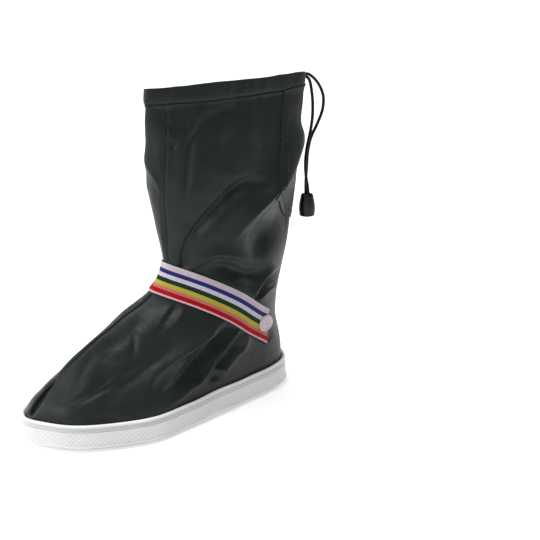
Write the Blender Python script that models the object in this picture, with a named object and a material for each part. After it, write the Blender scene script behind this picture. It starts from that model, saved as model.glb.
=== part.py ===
"""Left rain overshoe, worn over a shoe: a moulded sole tray, a slack coated-cloth boot with a drawstring casing at
its collar, a storm flap closed over the back opening, a striped instep strap with a press stud at each end, and the
drawstring's two ends hanging in a bell-shaped stopper.

Frame: metres, +Z up, toe towards -Y, the wearer's left (the outer side) towards +X. The origin is on the floor in
the middle of the heel.
"""

import math
from collections import namedtuple

import bmesh
import bpy
import numpy as np
from mathutils import Matrix, Vector
from mathutils.bvhtree import BVHTree

# Sole sizes
SOLE_LENGTH = 0.298
BALL_WIDTH = 0.114
WAIST_WIDTH = 0.085
HEEL_WIDTH = 0.071
TOE_INSET = 0.012
HEEL_CENTRE = 0.040
SOLE_HEIGHT = 0.0260
SOLE_FLOOR = 0.0040
SOLE_WALL = 0.0020
LIP_INSET = 0.0030
TOE_SPRING = 0.0040
SPRING_LENGTH = 0.070
ARCH_LIFT = 0.0012
LUG_DEPTH = 0.0022
LUG_LENGTH = 0.0080
LUG_PITCH = 0.0130
LUG_SWEEP = 0.0050
LUG_INSET = 0.0070
FOREFOOT_LUGS = 9
HEEL_LUGS = 5

# Boot sizes
CLOTH = 0.0012
INSTEP_HEIGHT = 0.1325
COLLAR_HEIGHT = 0.3265
COLLAR_LENGTH = 0.174
COLLAR_GAP = 0.023
COLLAR_DROP = 0.008
ANKLE_WIDTH = 0.078
CASING_DEPTH = 0.0180
CASING_STEP = 0.0011
CASING_PUFF = 0.0009
SEAM_WIDTH = 0.0052
SEAM_RISE = 0.0011
FOLD_WIDTH = 0.016
FOLD_DEPTH = 0.0045

# Strap, stud, flap and drawstring sizes
CLEARANCE = 0.0003
STRAP_WIDTH = 0.0305
STRAP_THICKNESS = 0.0014
STUD_DIAMETER = 0.0165
STUD_HEIGHT = 0.0032
FLAP_REACH = 0.020
FLAP_SLANT = 0.021
FLAP_BOTTOM_RISE = 0.034
FLAP_SKEW = 0.30
FLAP_HEIGHT = 0.134
FLAP_THICKNESS = 0.0015
CORD_DIAMETER = 0.0030
CORD_EXIT_BELOW = 0.0060
STOPPER_WIDTH = 0.0175
STOPPER_THICKNESS = 0.0115
STOPPER_LENGTH = 0.0225
STOPPER_TURN = math.radians(52)

AROUND = 52
FOOT_RINGS = 14
SHAFT_RINGS = 11
LOOP_SAMPLES = 24

TOE_Y = HEEL_CENTRE - SOLE_LENGTH
HEEL_Y = HEEL_CENTRE

# The sole's outline, from the toe round the outer side, the heel and the inner side. along is a share of the sole's
# length from the toe. The offset from the heel line is the sum of the shares of the four named sizes.
Outline = namedtuple("Outline", "along ball waist heel toe")
FOOTPRINT = [
    Outline(0.000, 0.000, 0.000, 0.000, -1.0),
    Outline(0.028, 0.160, 0.000, 0.000, -1.0),
    Outline(0.090, 0.325, 0.000, 0.000, -0.8),
    Outline(0.200, 0.435, 0.000, 0.000, -0.4),
    Outline(0.345, 0.515, 0.000, 0.000, 0.0),
    Outline(0.500, 0.330, 0.200, 0.000, 0.0),
    Outline(0.660, 0.000, 0.560, 0.000, 0.0),
    Outline(0.790, 0.000, 0.290, 0.230, 0.0),
    Outline(0.890, 0.000, 0.000, 0.500, 0.0),
    Outline(0.965, 0.000, 0.000, 0.330, 0.0),
    Outline(1.000, 0.000, 0.000, 0.000, 0.0),
    Outline(0.965, 0.000, 0.000, -0.330, 0.0),
    Outline(0.890, 0.000, 0.000, -0.490, 0.0),
    Outline(0.790, 0.000, -0.120, -0.345, 0.0),
    Outline(0.640, 0.000, -0.415, 0.000, 0.0),
    Outline(0.490, -0.270, -0.120, 0.000, 0.0),
    Outline(0.335, -0.465, 0.000, 0.000, 0.0),
    Outline(0.200, -0.440, 0.000, 0.000, -0.2),
    Outline(0.090, -0.315, 0.000, 0.000, -0.7),
    Outline(0.028, -0.165, 0.000, 0.000, -1.0),
]

# The sole's side wall from the tread up. inset is a share of LIP_INSET, up a share of SOLE_HEIGHT.
Step = namedtuple("Step", "inset up")
SOLE_SIDE = [
    Step(2.30, 0.00),
    Step(0.70, 0.03),
    Step(0.10, 0.10),
    Step(0.00, 0.21),
    Step(0.12, 0.26),
    Step(0.50, 0.29),
    Step(0.48, 0.60),
    Step(0.66, 0.88),
    Step(1.00, 1.00),
]

# Sections of the foot part, from the sole's lip to the instep. front and back are shares of the sole's length, in
# from the cloth's seat in the sole at toe and heel. The rises are shares of the way from the lip to the instep, at
# the front and back. outer and inner are shares of the seat's half widths, and oval is how far the plan has turned
# from the seat's outline into an oval whose nose is pointed by the given power.
Foot = namedtuple("Foot", "front back front_rise back_rise outer inner oval nose")
FOOT_SECTIONS = [
    Foot(0.000, 0.000, 0.000, 0.000, 1.000, 1.000, 0.00, 1.60),
    Foot(0.014, 0.000, 0.105, 0.070, 0.990, 0.995, 0.10, 1.52),
    Foot(0.045, 0.003, 0.205, 0.140, 0.955, 0.960, 0.30, 1.44),
    Foot(0.095, 0.008, 0.330, 0.230, 0.905, 0.900, 0.52, 1.42),
    Foot(0.160, 0.015, 0.475, 0.340, 0.865, 0.850, 0.72, 1.42),
    Foot(0.240, 0.020, 0.630, 0.465, 0.835, 0.825, 0.88, 1.42),
    Foot(0.335, 0.017, 0.765, 0.605, 0.810, 0.815, 0.97, 1.44),
    Foot(0.435, 0.007, 0.880, 0.760, 0.785, 0.805, 1.00, 1.48),
]

# Sections of the shaft, from the instep to the collar. length is the front-to-back length as a share of
# COLLAR_LENGTH, and overhang how far the back stands behind the heel, as a share of it. The rises are shares of
# the way from the instep to the collar. outer and inner are half widths, shares of ANKLE_WIDTH plus shares of
# COLLAR_GAP. nose is the power of the oval's front end. turn is the front seam's way round to the outer side, a
# share of the girth. front_side and back_side are how far the two ends of the flattened shaft lie to the outer side,
# shares of COLLAR_LENGTH. drop is the share of COLLAR_DROP that the inner side hangs by.
Shaft = namedtuple(
    "Shaft", "length overhang front_rise back_rise outer inner outer_gap inner_gap nose turn front_side back_side drop"
)
SHAFT_SECTIONS = [
    Shaft(0.814, -0.022, 0.010, -0.040, 0.510, 0.490, 0.00, 0.00, 1.52, 0.000, 0.000, 0.000, 0.00),
    Shaft(0.800, 0.000, 0.095, 0.050, 0.500, 0.485, 0.00, 0.00, 1.62, 0.004, -0.004, 0.004, 0.00),
    Shaft(0.838, 0.020, 0.230, 0.185, 0.500, 0.490, 0.00, 0.00, 1.76, 0.012, -0.014, 0.010, 0.00),
    Shaft(0.892, 0.045, 0.400, 0.350, 0.490, 0.470, 0.00, 0.00, 1.86, 0.024, -0.026, 0.020, 0.00),
    Shaft(0.940, 0.068, 0.570, 0.515, 0.400, 0.400, 0.00, 0.20, 1.92, 0.036, -0.036, 0.035, 0.05),
    Shaft(0.966, 0.084, 0.750, 0.690, 0.240, 0.240, 0.10, 0.40, 1.95, 0.046, -0.040, 0.055, 0.30),
    Shaft(0.982, 0.094, 0.910, 0.840, 0.060, 0.070, 0.25, 0.60, 1.95, 0.052, -0.040, 0.072, 0.80),
    Shaft(0.986, 0.096, 1.000, 0.925, 0.000, 0.000, 0.31, 0.69, 1.95, 0.055, -0.040, 0.080, 1.00),
]

# Main folds of the slack cloth. side is +1 outer, -1 inner. from and to are where a fold starts and ends, as shares
# of the sole's length from the toe and of the collar's height. width and depth are shares of FOLD_WIDTH and
# FOLD_DEPTH, and a depth below zero is a trough.
Fold = namedtuple("Fold", "side from_along from_up to_along to_up width depth")
FOLDS = [
    Fold(1, 0.82, 0.70, 0.69, 0.67, 0.85, -0.80),
    Fold(1, 0.69, 0.67, 0.53, 0.56, 0.80, -1.00),
    Fold(1, 0.98, 0.73, 0.73, 0.50, 0.85, 0.80),
    Fold(1, 0.86, 0.55, 0.77, 0.49, 1.00, -0.90),
    Fold(1, 0.62, 0.225, 0.40, 0.120, 1.10, -0.75),
    Fold(-1, 0.90, 0.78, 0.62, 0.60, 1.00, -0.70),
    Fold(-1, 0.95, 0.62, 0.66, 0.47, 0.90, 0.60),
    Fold(-1, 0.62, 0.230, 0.40, 0.120, 1.10, -0.70),
]

# The strap's middle line seen from the side, over the instep and down to the studs: shares of the sole's length
# from the toe and of the instep's height.
StrapPoint = namedtuple("StrapPoint", "along up")
STRAP_LINE = [
    StrapPoint(0.327, 1.147),
    StrapPoint(0.436, 1.098),
    StrapPoint(0.515, 1.029),
    StrapPoint(0.604, 0.933),
    StrapPoint(0.703, 0.794),
    StrapPoint(0.792, 0.637),
    StrapPoint(0.863, 0.5215),
]
STRAP_END_SLANT = 0.0085
STUD_FROM_END = 0.0095
STUD_ABOVE_MIDDLE = 0.0015

# The stud's cap: radius as a share of its diameter, height as a share of its height.
Turned = namedtuple("Turned", "radius height")
STUD_CAP = [Turned(0.44, 0.00), Turned(0.50, 0.18), Turned(0.50, 0.48), Turned(0.42, 0.86), Turned(0.20, 1.00)]
STOPPER_BELL = [
    Turned(0.33, 0.00), Turned(0.39, 0.04), Turned(0.41, 0.16), Turned(0.46, 0.38), Turned(0.50, 0.62),
    Turned(0.49, 0.86), Turned(0.44, 0.97), Turned(0.33, 1.00),
]

# Routes of the two cord ends from the casing down into the stopper: metres out behind the shaft, down from the
# exit, and towards the outer side.
Route = namedtuple("Route", "out down side")
NEAR_CORD = [
    Route(0.0000, 0.0000, 0.0000), Route(0.0036, 0.0003, 0.0003), Route(0.0064, 0.0040, 0.0012),
    Route(0.0078, 0.0120, 0.0022), Route(0.0090, 0.0260, 0.0030), Route(0.0084, 0.0420, 0.0034),
    Route(0.0056, 0.0570, 0.0034), Route(0.0020, 0.0720, 0.0030), Route(0.0012, 0.0860, 0.0020),
    Route(0.0028, 0.1000, 0.0008), Route(0.0056, 0.1120, 0.0000), Route(0.0066, 0.1210, 0.0000),
]
FAR_CORD = [
    Route(0.0000, -0.0010, -0.0042), Route(0.0044, -0.0014, -0.0042), Route(0.0110, 0.0010, -0.0040),
    Route(0.0205, 0.0110, -0.0034), Route(0.0268, 0.0250, -0.0028), Route(0.0258, 0.0390, -0.0024),
    Route(0.0190, 0.0520, -0.0020), Route(0.0112, 0.0640, -0.0018), Route(0.0074, 0.0780, -0.0020),
    Route(0.0068, 0.0940, -0.0028), Route(0.0066, 0.1090, -0.0038), Route(0.0066, 0.1210, -0.0038),
]

MATERIALS = {
    "sole": ((0.80, 0.81, 0.81), 0.42),
    "cloth": ((0.035, 0.040, 0.039), 0.48),
    "flap": ((0.030, 0.034, 0.033), 0.50),
    "strap": ((0.78, 0.70, 0.74), 0.80),
    "stud": ((0.74, 0.68, 0.71), 0.35),
    "cord": ((0.012, 0.012, 0.013), 0.70),
    "stopper": ((0.010, 0.010, 0.011), 0.30),
}


def clear_scene():
    for item in list(bpy.data.objects):
        bpy.data.objects.remove(item, do_unlink=True)


def material(name):
    """A plain Principled material with the finish's colour and roughness."""
    made = bpy.data.materials.get(name) or bpy.data.materials.new(name)
    made.use_nodes = True
    colour, roughness = MATERIALS[name]
    shader = made.node_tree.nodes["Principled BSDF"]
    shader.inputs["Base Color"].default_value = (*colour, 1.0)
    shader.inputs["Roughness"].default_value = roughness
    shader.inputs["Metallic"].default_value = 0.0
    return made


def add_object(name, mesh, finish=None):
    made = bpy.data.objects.new(name, mesh)
    bpy.context.scene.collection.objects.link(made)
    if finish:
        mesh.materials.append(material(finish))
        mesh.shade_smooth()
        mesh.set_sharp_from_angle(angle=math.radians(40))
    return made


def add_guide(name, mesh):
    """A cutter or form that shapes other pieces and isn't one itself."""
    made = add_object(name, mesh)
    made.hide_render = True
    made.display_type = "WIRE"
    return made


def smooth_path(points, at, closed=False):
    """Points of a smooth curve through the given ones, read at parameters counted in points."""
    known = np.asarray(points, float)
    count = len(known)
    at = np.asarray(at, float)
    if closed:
        span = np.floor(at).astype(int)
        before, first, second, after = (known[(span + k) % count] for k in (-1, 0, 1, 2))
    else:
        span = np.clip(np.floor(at).astype(int), 0, count - 2)
        first, second = known[span], known[span + 1]
        before = np.where((span > 0)[:, None], known[np.maximum(span - 1, 0)], 2 * first - second)
        after = np.where((span < count - 2)[:, None], known[np.minimum(span + 2, count - 1)], 2 * second - first)
    t = (at - span)[:, None]
    gap = np.linalg.norm(second - first, axis=1)[:, None]
    gap_before = np.linalg.norm(first - before, axis=1)[:, None]
    gap_after = np.linalg.norm(after - second, axis=1)[:, None]
    slope_first = (second - before) * gap / np.maximum(gap + gap_before, 1e-9)
    slope_second = (after - first) * gap / np.maximum(gap + gap_after, 1e-9)
    return (
        (2 * t**3 - 3 * t**2 + 1) * first
        + (t**3 - 2 * t**2 + t) * slope_first
        + (3 * t**2 - 2 * t**3) * second
        + (t**3 - t**2) * slope_second
    )


def by_girth(loop, shares):
    """Points of a closed loop at shares of its girth."""
    closed = np.vstack([loop, loop[:1]])
    run = np.concatenate([[0.0], np.cumsum(np.linalg.norm(np.diff(closed, axis=0), axis=1))])
    wanted = (np.asarray(shares) % 1.0) * run[-1]
    return np.stack([np.interp(wanted, run, closed[:, k]) for k in range(closed.shape[1])], axis=-1)


def outline_points():
    """The sole's outline as a dense closed loop of (x, y), starting at the toe and going round by the outer side."""
    knots = []
    for row in FOOTPRINT:
        x = row.ball * BALL_WIDTH + row.waist * WAIST_WIDTH + row.heel * HEEL_WIDTH + row.toe * TOE_INSET
        knots.append((x, TOE_Y + row.along * SOLE_LENGTH))
    return smooth_path(knots, np.arange(len(knots) * LOOP_SAMPLES) / LOOP_SAMPLES, closed=True)


def inset(loop, distance):
    """A closed loop of (x, y), moved inwards by a distance."""
    ahead = np.roll(loop, -1, axis=0) - np.roll(loop, 1, axis=0)
    outward = np.stack([ahead[:, 1], -ahead[:, 0]], axis=1)
    outward /= np.linalg.norm(outward, axis=1)[:, None]
    return loop - outward * np.asarray(distance)


def sole_lift(y):
    """How far the sole is lifted off the floor at y: the toe spring, and the arch between ball and heel."""
    from_toe = np.asarray(y) - TOE_Y
    spring = TOE_SPRING * np.clip(1 - from_toe / SPRING_LENGTH, 0, 1) ** 2
    share = np.clip((from_toe / SOLE_LENGTH - 0.50) / 0.24, 0, 1)
    return spring + ARCH_LIFT * np.sin(math.pi * share) ** 2


def seat_outline():
    """Where the boot's cloth stands inside the sole's wall, as a dense closed loop of (x, y)."""
    return inset(outline_points(), LIP_INSET + SOLE_WALL + CLEARANCE)


def girth_of(loop):
    return np.linalg.norm(np.diff(np.vstack([loop, loop[:1]]), axis=0), axis=1).sum()


def seam_shares(girth):
    """Shares of a section's girth for its corners: even ones, and a close pair on each side of the two seams."""
    seam = 0.5 * SEAM_WIDTH / girth
    half = (AROUND - 2) // 2
    first = 2.0 * SEAM_WIDTH / girth
    side = np.concatenate([[seam, first], np.linspace(first, 0.5 - first, half - 2)[1:-1], [0.5 - first, 0.5 - seam]])
    return np.concatenate([[0.0], side, [0.5], 1.0 - side[::-1]])


def sole_ring(distance, height):
    """A ring of the sole, set in from its outline, with its corners square out from the corners of the cloth."""
    seat = seat_outline()
    shares = seam_shares(girth_of(seat))
    corner = by_girth(seat, shares)
    ahead = by_girth(seat, shares + 0.002) - by_girth(seat, shares - 0.002)
    outward = np.stack([ahead[:, 1], -ahead[:, 0]], axis=1)
    outward /= np.linalg.norm(outward, axis=1)[:, None]
    ring = corner + outward * (LIP_INSET + SOLE_WALL + CLEARANCE - distance)
    return np.column_stack([ring, height + sole_lift(ring[:, 1])])


def add_ring(bm, points):
    return [bm.verts.new(p) for p in points]


def bridge(bm, lower, upper):
    """Faces between two rings that run the same way; the outside is to the right of the way they run."""
    count = len(lower)
    for k in range(count):
        following = (k + 1) % count
        bm.faces.new((lower[k], lower[following], upper[following], upper[k]))


def strip_cap(bm, ring, up):
    """Closes a ring with strips that run across it from one side to the other."""
    count = len(ring)
    for k in range(count // 2):
        left, left_next = ring[k], ring[k + 1]
        right, right_next = ring[-k % count], ring[(-k - 1) % count]
        corners = [left, left_next, right_next, right]
        face = [v for n, v in enumerate(corners) if v not in corners[:n]]
        bm.faces.new(face if up else face[::-1])


def to_mesh(bm, name):
    mesh = bpy.data.meshes.new(name)
    bm.to_mesh(mesh)
    bm.free()
    return mesh


def lug_prism(bm, loop, y, bottom):
    """One swept tread bar across the sole at y, from the floor up into the sole's plate."""
    inside = inset(loop, LUG_INSET)
    sides = []
    for outer in (True, False):
        half = inside[: len(inside) // 2] if outer else inside[len(inside) // 2 :][::-1]
        sides.append(np.interp([y + LUG_SWEEP], half[:, 1], half[:, 0])[0])
    left, right = sides
    plan = []
    for ahead in (-0.5, 0.5):
        edge = [(right, y + LUG_SWEEP), (0.5 * (left + right), y), (left, y + LUG_SWEEP)]
        row = [(px, py + ahead * LUG_LENGTH) for px, py in edge]
        plan.extend(row if ahead < 0 else row[::-1])
    low = [bm.verts.new((px, py, bottom)) for px, py in plan]
    high = [bm.verts.new((px, py, bottom + LUG_DEPTH + 0.4 * SOLE_FLOOR)) for px, py in plan]
    bridge(bm, low, high)
    bm.faces.new((low[0], low[5], low[4], low[1]))
    bm.faces.new((low[1], low[4], low[3], low[2]))
    bm.faces.new((high[0], high[1], high[4], high[5]))
    bm.faces.new((high[1], high[2], high[3], high[4]))


def lug_places():
    """The y of each tread bar: one under the middle of the heel, the others a pitch apart, none under the waist."""
    heel = [(k - HEEL_LUGS // 2) * LUG_PITCH for k in range(HEEL_LUGS)]
    ball = TOE_Y + 0.33 * SOLE_LENGTH
    forefoot = [ball + (k - FOREFOOT_LUGS // 2) * LUG_PITCH for k in range(FOREFOOT_LUGS)]
    return heel + forefoot


def build_outsole():
    """The moulded tray: tread bars, floor plate, rounded and stepped side wall, and a lip round the boot's edge."""
    loop = outline_points()
    bm = bmesh.new()
    rise = SOLE_HEIGHT - LUG_DEPTH
    rings = [
        add_ring(bm, sole_ring(step.inset * LIP_INSET, LUG_DEPTH + step.up * rise)) for step in SOLE_SIDE
    ]
    wall_inset = LIP_INSET + SOLE_WALL
    rings.append(add_ring(bm, sole_ring(wall_inset, SOLE_HEIGHT)))
    rings.append(add_ring(bm, sole_ring(wall_inset, LUG_DEPTH + SOLE_FLOOR)))
    for lower, upper in zip(rings, rings[1:]):
        bridge(bm, lower, upper)
    strip_cap(bm, rings[0], up=False)
    strip_cap(bm, rings[-1], up=True)
    tray = add_object("outsole", to_mesh(bm, "outsole"), "sole")

    bm = bmesh.new()
    for y in lug_places():
        lug_prism(bm, loop, y, float(TOE_SPRING * max(0.0, 1 - (y - TOE_Y) / SPRING_LENGTH) ** 2))
    tread = add_guide("tread_bars", to_mesh(bm, "tread_bars"))
    join = tray.modifiers.new("tread", "BOOLEAN")
    join.operation = "UNION"
    join.solver = "EXACT"
    join.object = tread
    return tray


def boot_stations():
    """Every section of the boot in metres: front x y z, back x y z, outer and inner half width, and form values."""
    rows = []
    seat = seat_outline()
    low, high = seat.min(axis=0), seat.max(axis=0)
    foot_rise = INSTEP_HEIGHT - SOLE_HEIGHT
    for foot in FOOT_SECTIONS:
        narrowing = 1.0 - foot.oval
        rows.append(
            [-TOE_INSET * narrowing, low[1] + foot.front * SOLE_LENGTH, SOLE_HEIGHT + foot.front_rise * foot_rise]
            + [0.0, high[1] - foot.back * SOLE_LENGTH, SOLE_HEIGHT + foot.back_rise * foot_rise]
            + [foot.outer * high[0], foot.inner * -low[0], foot.oval, foot.nose, 0.0, 0.0]
        )
    shaft_rise = COLLAR_HEIGHT - INSTEP_HEIGHT
    for shaft in SHAFT_SECTIONS:
        back = HEEL_Y + shaft.overhang * COLLAR_LENGTH
        outer = shaft.outer * ANKLE_WIDTH + shaft.outer_gap * COLLAR_GAP
        inner = shaft.inner * ANKLE_WIDTH + shaft.inner_gap * COLLAR_GAP
        front = back - shaft.length * COLLAR_LENGTH
        rows.append(
            [shaft.front_side * COLLAR_LENGTH, front, INSTEP_HEIGHT + shaft.front_rise * shaft_rise]
            + [shaft.back_side * COLLAR_LENGTH, back, INSTEP_HEIGHT + shaft.back_rise * shaft_rise]
            + [outer, inner, 1.0, shaft.nose, shaft.turn, shaft.drop * COLLAR_DROP]
        )
    return np.array(rows)


def station_at(stations, front_height):
    """A section of the boot whose front lies at the given height, between the sections of the tables."""
    heights = stations[:, 2]
    return smooth_path(stations, np.interp([front_height], heights, np.arange(len(heights))))[0]


def oval_loop(nose, samples=360):
    """A unit oval from -1 (front) to +1 (back) as (x share, y share), starting at the front, outer side first."""
    angle = np.arange(samples) * 2 * math.pi / samples
    power = np.where(np.cos(angle) > 0, 2.0 / nose, 1.0)
    y = -np.sign(np.cos(angle)) * np.abs(np.cos(angle)) ** power
    x = np.sign(np.sin(angle)) * np.abs(np.sin(angle)) ** power
    return np.column_stack([x, y])


def section_loop(station, footprint):
    """One section as a dense closed loop of (x, y, z), starting at the boot's front."""
    front, back = station[0:3], station[3:6]
    outer, inner, oval, nose, _, drop = station[6:12]
    shares = np.arange(360) / 360
    plan = by_girth(footprint, shares)
    low, high = footprint[:, 1].min(), footprint[:, 1].max()
    along = (plan[:, 1] - low) / (high - low)
    widths = np.where(plan[:, 0] > 0, outer / footprint[:, 0].max(), inner / -footprint[:, 0].min())
    follow_x = plan[:, 0] * widths
    follow_y = front[1] + along * (back[1] - front[1])
    unit = by_girth(oval_loop(nose) * [0.5 * (outer + inner), 0.5 * (back[1] - front[1])], shares)
    span = 0.5 + 0.5 * unit[:, 1] / (0.5 * (back[1] - front[1]))
    side = unit[:, 0] / (0.5 * (outer + inner))
    oval_x = side * np.where(side > 0, outer, inner) + front[0] * (1 - span) ** 2 + back[0] * span**2
    oval_y = front[1] + span * (back[1] - front[1])
    x = (1 - oval) * follow_x + oval * oval_x
    y = (1 - oval) * follow_y + oval * oval_y
    level = (y - front[1]) / (back[1] - front[1])
    z = front[2] + level * (back[2] - front[2]) - drop * np.clip(-side, 0, 1)
    return np.column_stack([x, y, z])


def boot_heights():
    """The front heights of the boot's rings above the sole's lip: the foot's, the shaft's and the casing's."""
    casing = COLLAR_HEIGHT - CASING_DEPTH
    foot = np.linspace(SOLE_HEIGHT, INSTEP_HEIGHT, FOOT_RINGS + 1)
    shaft = np.linspace(INSTEP_HEIGHT, casing - CASING_STEP, SHAFT_RINGS + 1)[1:]
    hem = [casing + 0.3 * CASING_STEP, casing + 0.45 * CASING_DEPTH, COLLAR_HEIGHT - 0.6 * CASING_STEP, COLLAR_HEIGHT]
    return list(foot) + list(shaft) + hem


def fold_shift(points, normals):
    """How far each point of the slack cloth stands out or in, from the table of folds."""
    shift = np.zeros(points.shape[:-1])
    flat = np.stack([points[..., 1], points[..., 2]], axis=-1)
    for fold in FOLDS:
        start = np.array([TOE_Y + fold.from_along * SOLE_LENGTH, fold.from_up * COLLAR_HEIGHT])
        end = np.array([TOE_Y + fold.to_along * SOLE_LENGTH, fold.to_up * COLLAR_HEIGHT])
        run = end - start
        share = np.clip(((flat - start) @ run) / (run @ run), 0, 1)
        away = np.linalg.norm(flat - (start + share[..., None] * run), axis=-1)
        facing = np.clip(fold.side * normals[..., 0] / 0.5, 0, 1)
        taper = np.sin(math.pi * (0.12 + 0.76 * share))
        shape = np.exp(-((away / (fold.width * FOLD_WIDTH)) ** 2))
        shift += fold.depth * FOLD_DEPTH * shape * facing * taper
    return shift


def grid_normals(grid):
    around = np.roll(grid, -1, axis=1) - np.roll(grid, 1, axis=1)
    upwards = np.empty_like(grid)
    upwards[1:-1] = grid[2:] - grid[:-2]
    upwards[0], upwards[-1] = grid[1] - grid[0], grid[-1] - grid[-2]
    normal = np.cross(around, upwards)
    return normal / np.linalg.norm(normal, axis=-1)[..., None]


class Boot:
    """The boot's cloth as a grid of rings from the sole's floor to the collar, with its normals and raised seams."""

    def __init__(self):
        seat = seat_outline()
        stations = boot_stations()
        rings = []
        for height in boot_heights():
            station = station_at(stations, height)
            section = section_loop(station, seat)
            rings.append(by_girth(section, seam_shares(girth_of(section)) + station[10]))
        self.lift(rings)
        seat_ring = rings[0].copy()
        under = seat_ring.copy()
        under[:, 2] = LUG_DEPTH + SOLE_FLOOR + CLEARANCE + sole_lift(under[:, 1])
        half_way = 0.5 * (under + seat_ring)
        grid = np.stack([under, half_way] + rings)
        normals = grid_normals(grid)
        normals[:3, :, 2] = 0.0
        normals[:3] /= np.linalg.norm(normals[:3], axis=-1)[..., None]
        free = np.clip((grid[..., 2] - SOLE_HEIGHT - sole_lift(grid[..., 1])) / (0.5 * FOLD_WIDTH), 0, 1)
        grid = grid + normals * (fold_shift(grid, normals) * free)[..., None]
        shaped = grid_normals(grid)
        shaped[:3] = normals[:3]
        self.plain, self.normals = grid, shaped
        self.outer = grid + shaped * self.raised()[..., None]

    def lift(self, rings):
        """Carries the toe spring up into the boot, dying away towards the instep."""
        for ring in rings:
            fade = np.clip((INSTEP_HEIGHT - ring[:, 2]) / (INSTEP_HEIGHT - SOLE_HEIGHT), 0, 1)
            ring[:, 2] += fade * sole_lift(ring[:, 1])

    def raised(self):
        """How far the front and back seams and the drawstring casing stand proud of the cloth."""
        rings, corners = self.plain.shape[:2]
        rise = np.zeros((rings, corners))
        for seam in (0, corners // 2):
            rise[3:, seam] = SEAM_RISE
            for beside in (seam - 1, seam + 1):
                rise[3:, beside % corners] = 0.55 * SEAM_RISE
        rise[-4] += CASING_STEP
        rise[-3] += CASING_STEP + CASING_PUFF
        rise[-2] += CASING_STEP + 0.5 * CASING_PUFF
        rise[-1] += 0.5 * CASING_STEP
        return rise

    def inner(self):
        return self.plain - self.normals * CLOTH

    def skin(self, bm, grid, outward=True):
        """Rings of the boot joined by triangles, with the same split of every four corners in each of its forms."""
        rings = [add_ring(bm, ring) for ring in grid]
        rising = np.linalg.norm(self.outer[:-1] - np.roll(self.outer, -1, axis=1)[1:], axis=-1)
        falling = np.linalg.norm(np.roll(self.outer, -1, axis=1)[:-1] - self.outer[1:], axis=-1)
        for r, (lower, upper) in enumerate(zip(rings, rings[1:])):
            for k in range(len(lower)):
                following = (k + 1) % len(lower)
                a, b, c, d = lower[k], lower[following], upper[following], upper[k]
                pair = [(a, b, c), (a, c, d)] if rising[r, k] < falling[r, k] else [(a, b, d), (b, c, d)]
                for corners in pair:
                    bm.faces.new(corners if outward else corners[::-1])
        return rings

    def form(self, name, offset):
        """A closed guide solid of the boot's outer shape, grown by an offset."""
        bm = bmesh.new()
        grown = self.outer + self.normals * offset
        grown[0, :, 2] -= offset
        rings = self.skin(bm, grown)
        bm.faces.new(rings[0][::-1])
        strip_cap(bm, rings[-1], up=True)
        return add_guide(name, to_mesh(bm, name))


def build_upper(boot):
    """The boot: vamp, quarters and shaft in one wall of coated cloth, open at the collar and under the foot."""
    bm = bmesh.new()
    outer = boot.skin(bm, boot.outer)
    inner = boot.skin(bm, boot.inner(), outward=False)
    bridge(bm, outer[-1], inner[-1])
    bridge(bm, inner[0], outer[0])
    return add_object("upper", to_mesh(bm, "upper"), "cloth")


def boolean(item, operation, other):
    cut = item.modifiers.new(other.name, "BOOLEAN")
    cut.operation = operation
    cut.solver = "EXACT"
    cut.object = other


def side_prism(plan, half_width, skew=0.0):
    """A prism with a (y, z) outline, reaching the same way to both sides; skew carries it forward on the outer."""
    bm = bmesh.new()
    left = [bm.verts.new((half_width, y - skew * half_width, z)) for y, z in plan]
    right = [bm.verts.new((-half_width, y + skew * half_width, z)) for y, z in plan]
    bm.faces.new(left)
    bm.faces.new(right[::-1])
    bridge(bm, right, left)
    bmesh.ops.recalc_face_normals(bm, faces=bm.faces)
    return bm


def strap_line(samples=15):
    knots = [(TOE_Y + p.along * SOLE_LENGTH, p.up * INSTEP_HEIGHT) for p in STRAP_LINE]
    return smooth_path(knots, np.linspace(0, len(knots) - 1, samples))


def strap_side():
    """Unit vectors along the strap's middle line and across it, upwards, at each of its points."""
    line = strap_line()
    ahead = np.gradient(line, axis=0)
    ahead /= np.linalg.norm(ahead, axis=1)[:, None]
    across = np.stack([-ahead[:, 1], ahead[:, 0]], axis=1)
    return line, ahead, across


def build_strap(inside, outside):
    """The elastic ribbon over the instep: a band of even width that follows the boot's folds at a hair's clearance."""
    line, ahead, across = strap_side()
    upper_edge = line + across * 0.5 * STRAP_WIDTH
    lower_edge = line - across * 0.5 * STRAP_WIDTH
    upper_edge[-1] -= ahead[-1] * STRAP_END_SLANT
    lower_edge[-1] += ahead[-1] * STRAP_END_SLANT
    bm = side_prism(np.vstack([lower_edge, upper_edge[::-1]]), 0.8 * BALL_WIDTH)
    strap = add_object("instep_strap", to_mesh(bm, "instep_strap"), "strap")
    boolean(strap, "INTERSECT", outside)
    boolean(strap, "DIFFERENCE", inside)
    return strap


def turned_mesh(name, profile, diameter, height, corners=18):
    """A turned solid about +Z with its first row at z = 0."""
    bm = bmesh.new()
    rings = []
    for row in profile:
        angles = [2 * math.pi * k / corners for k in range(corners)]
        radius = row.radius * diameter
        rings.append(add_ring(bm, [(radius * math.cos(a), radius * math.sin(a), row.height * height) for a in angles]))
    for lower, upper in zip(rings, rings[1:]):
        bridge(bm, lower, upper)
    bm.faces.new(rings[0][::-1])
    bm.faces.new(rings[-1])
    return to_mesh(bm, name)


def surface_of(item):
    """A search tree of an object's evaluated shape."""
    graph = bpy.context.evaluated_depsgraph_get()
    return BVHTree.FromObject(item, graph)


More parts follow.
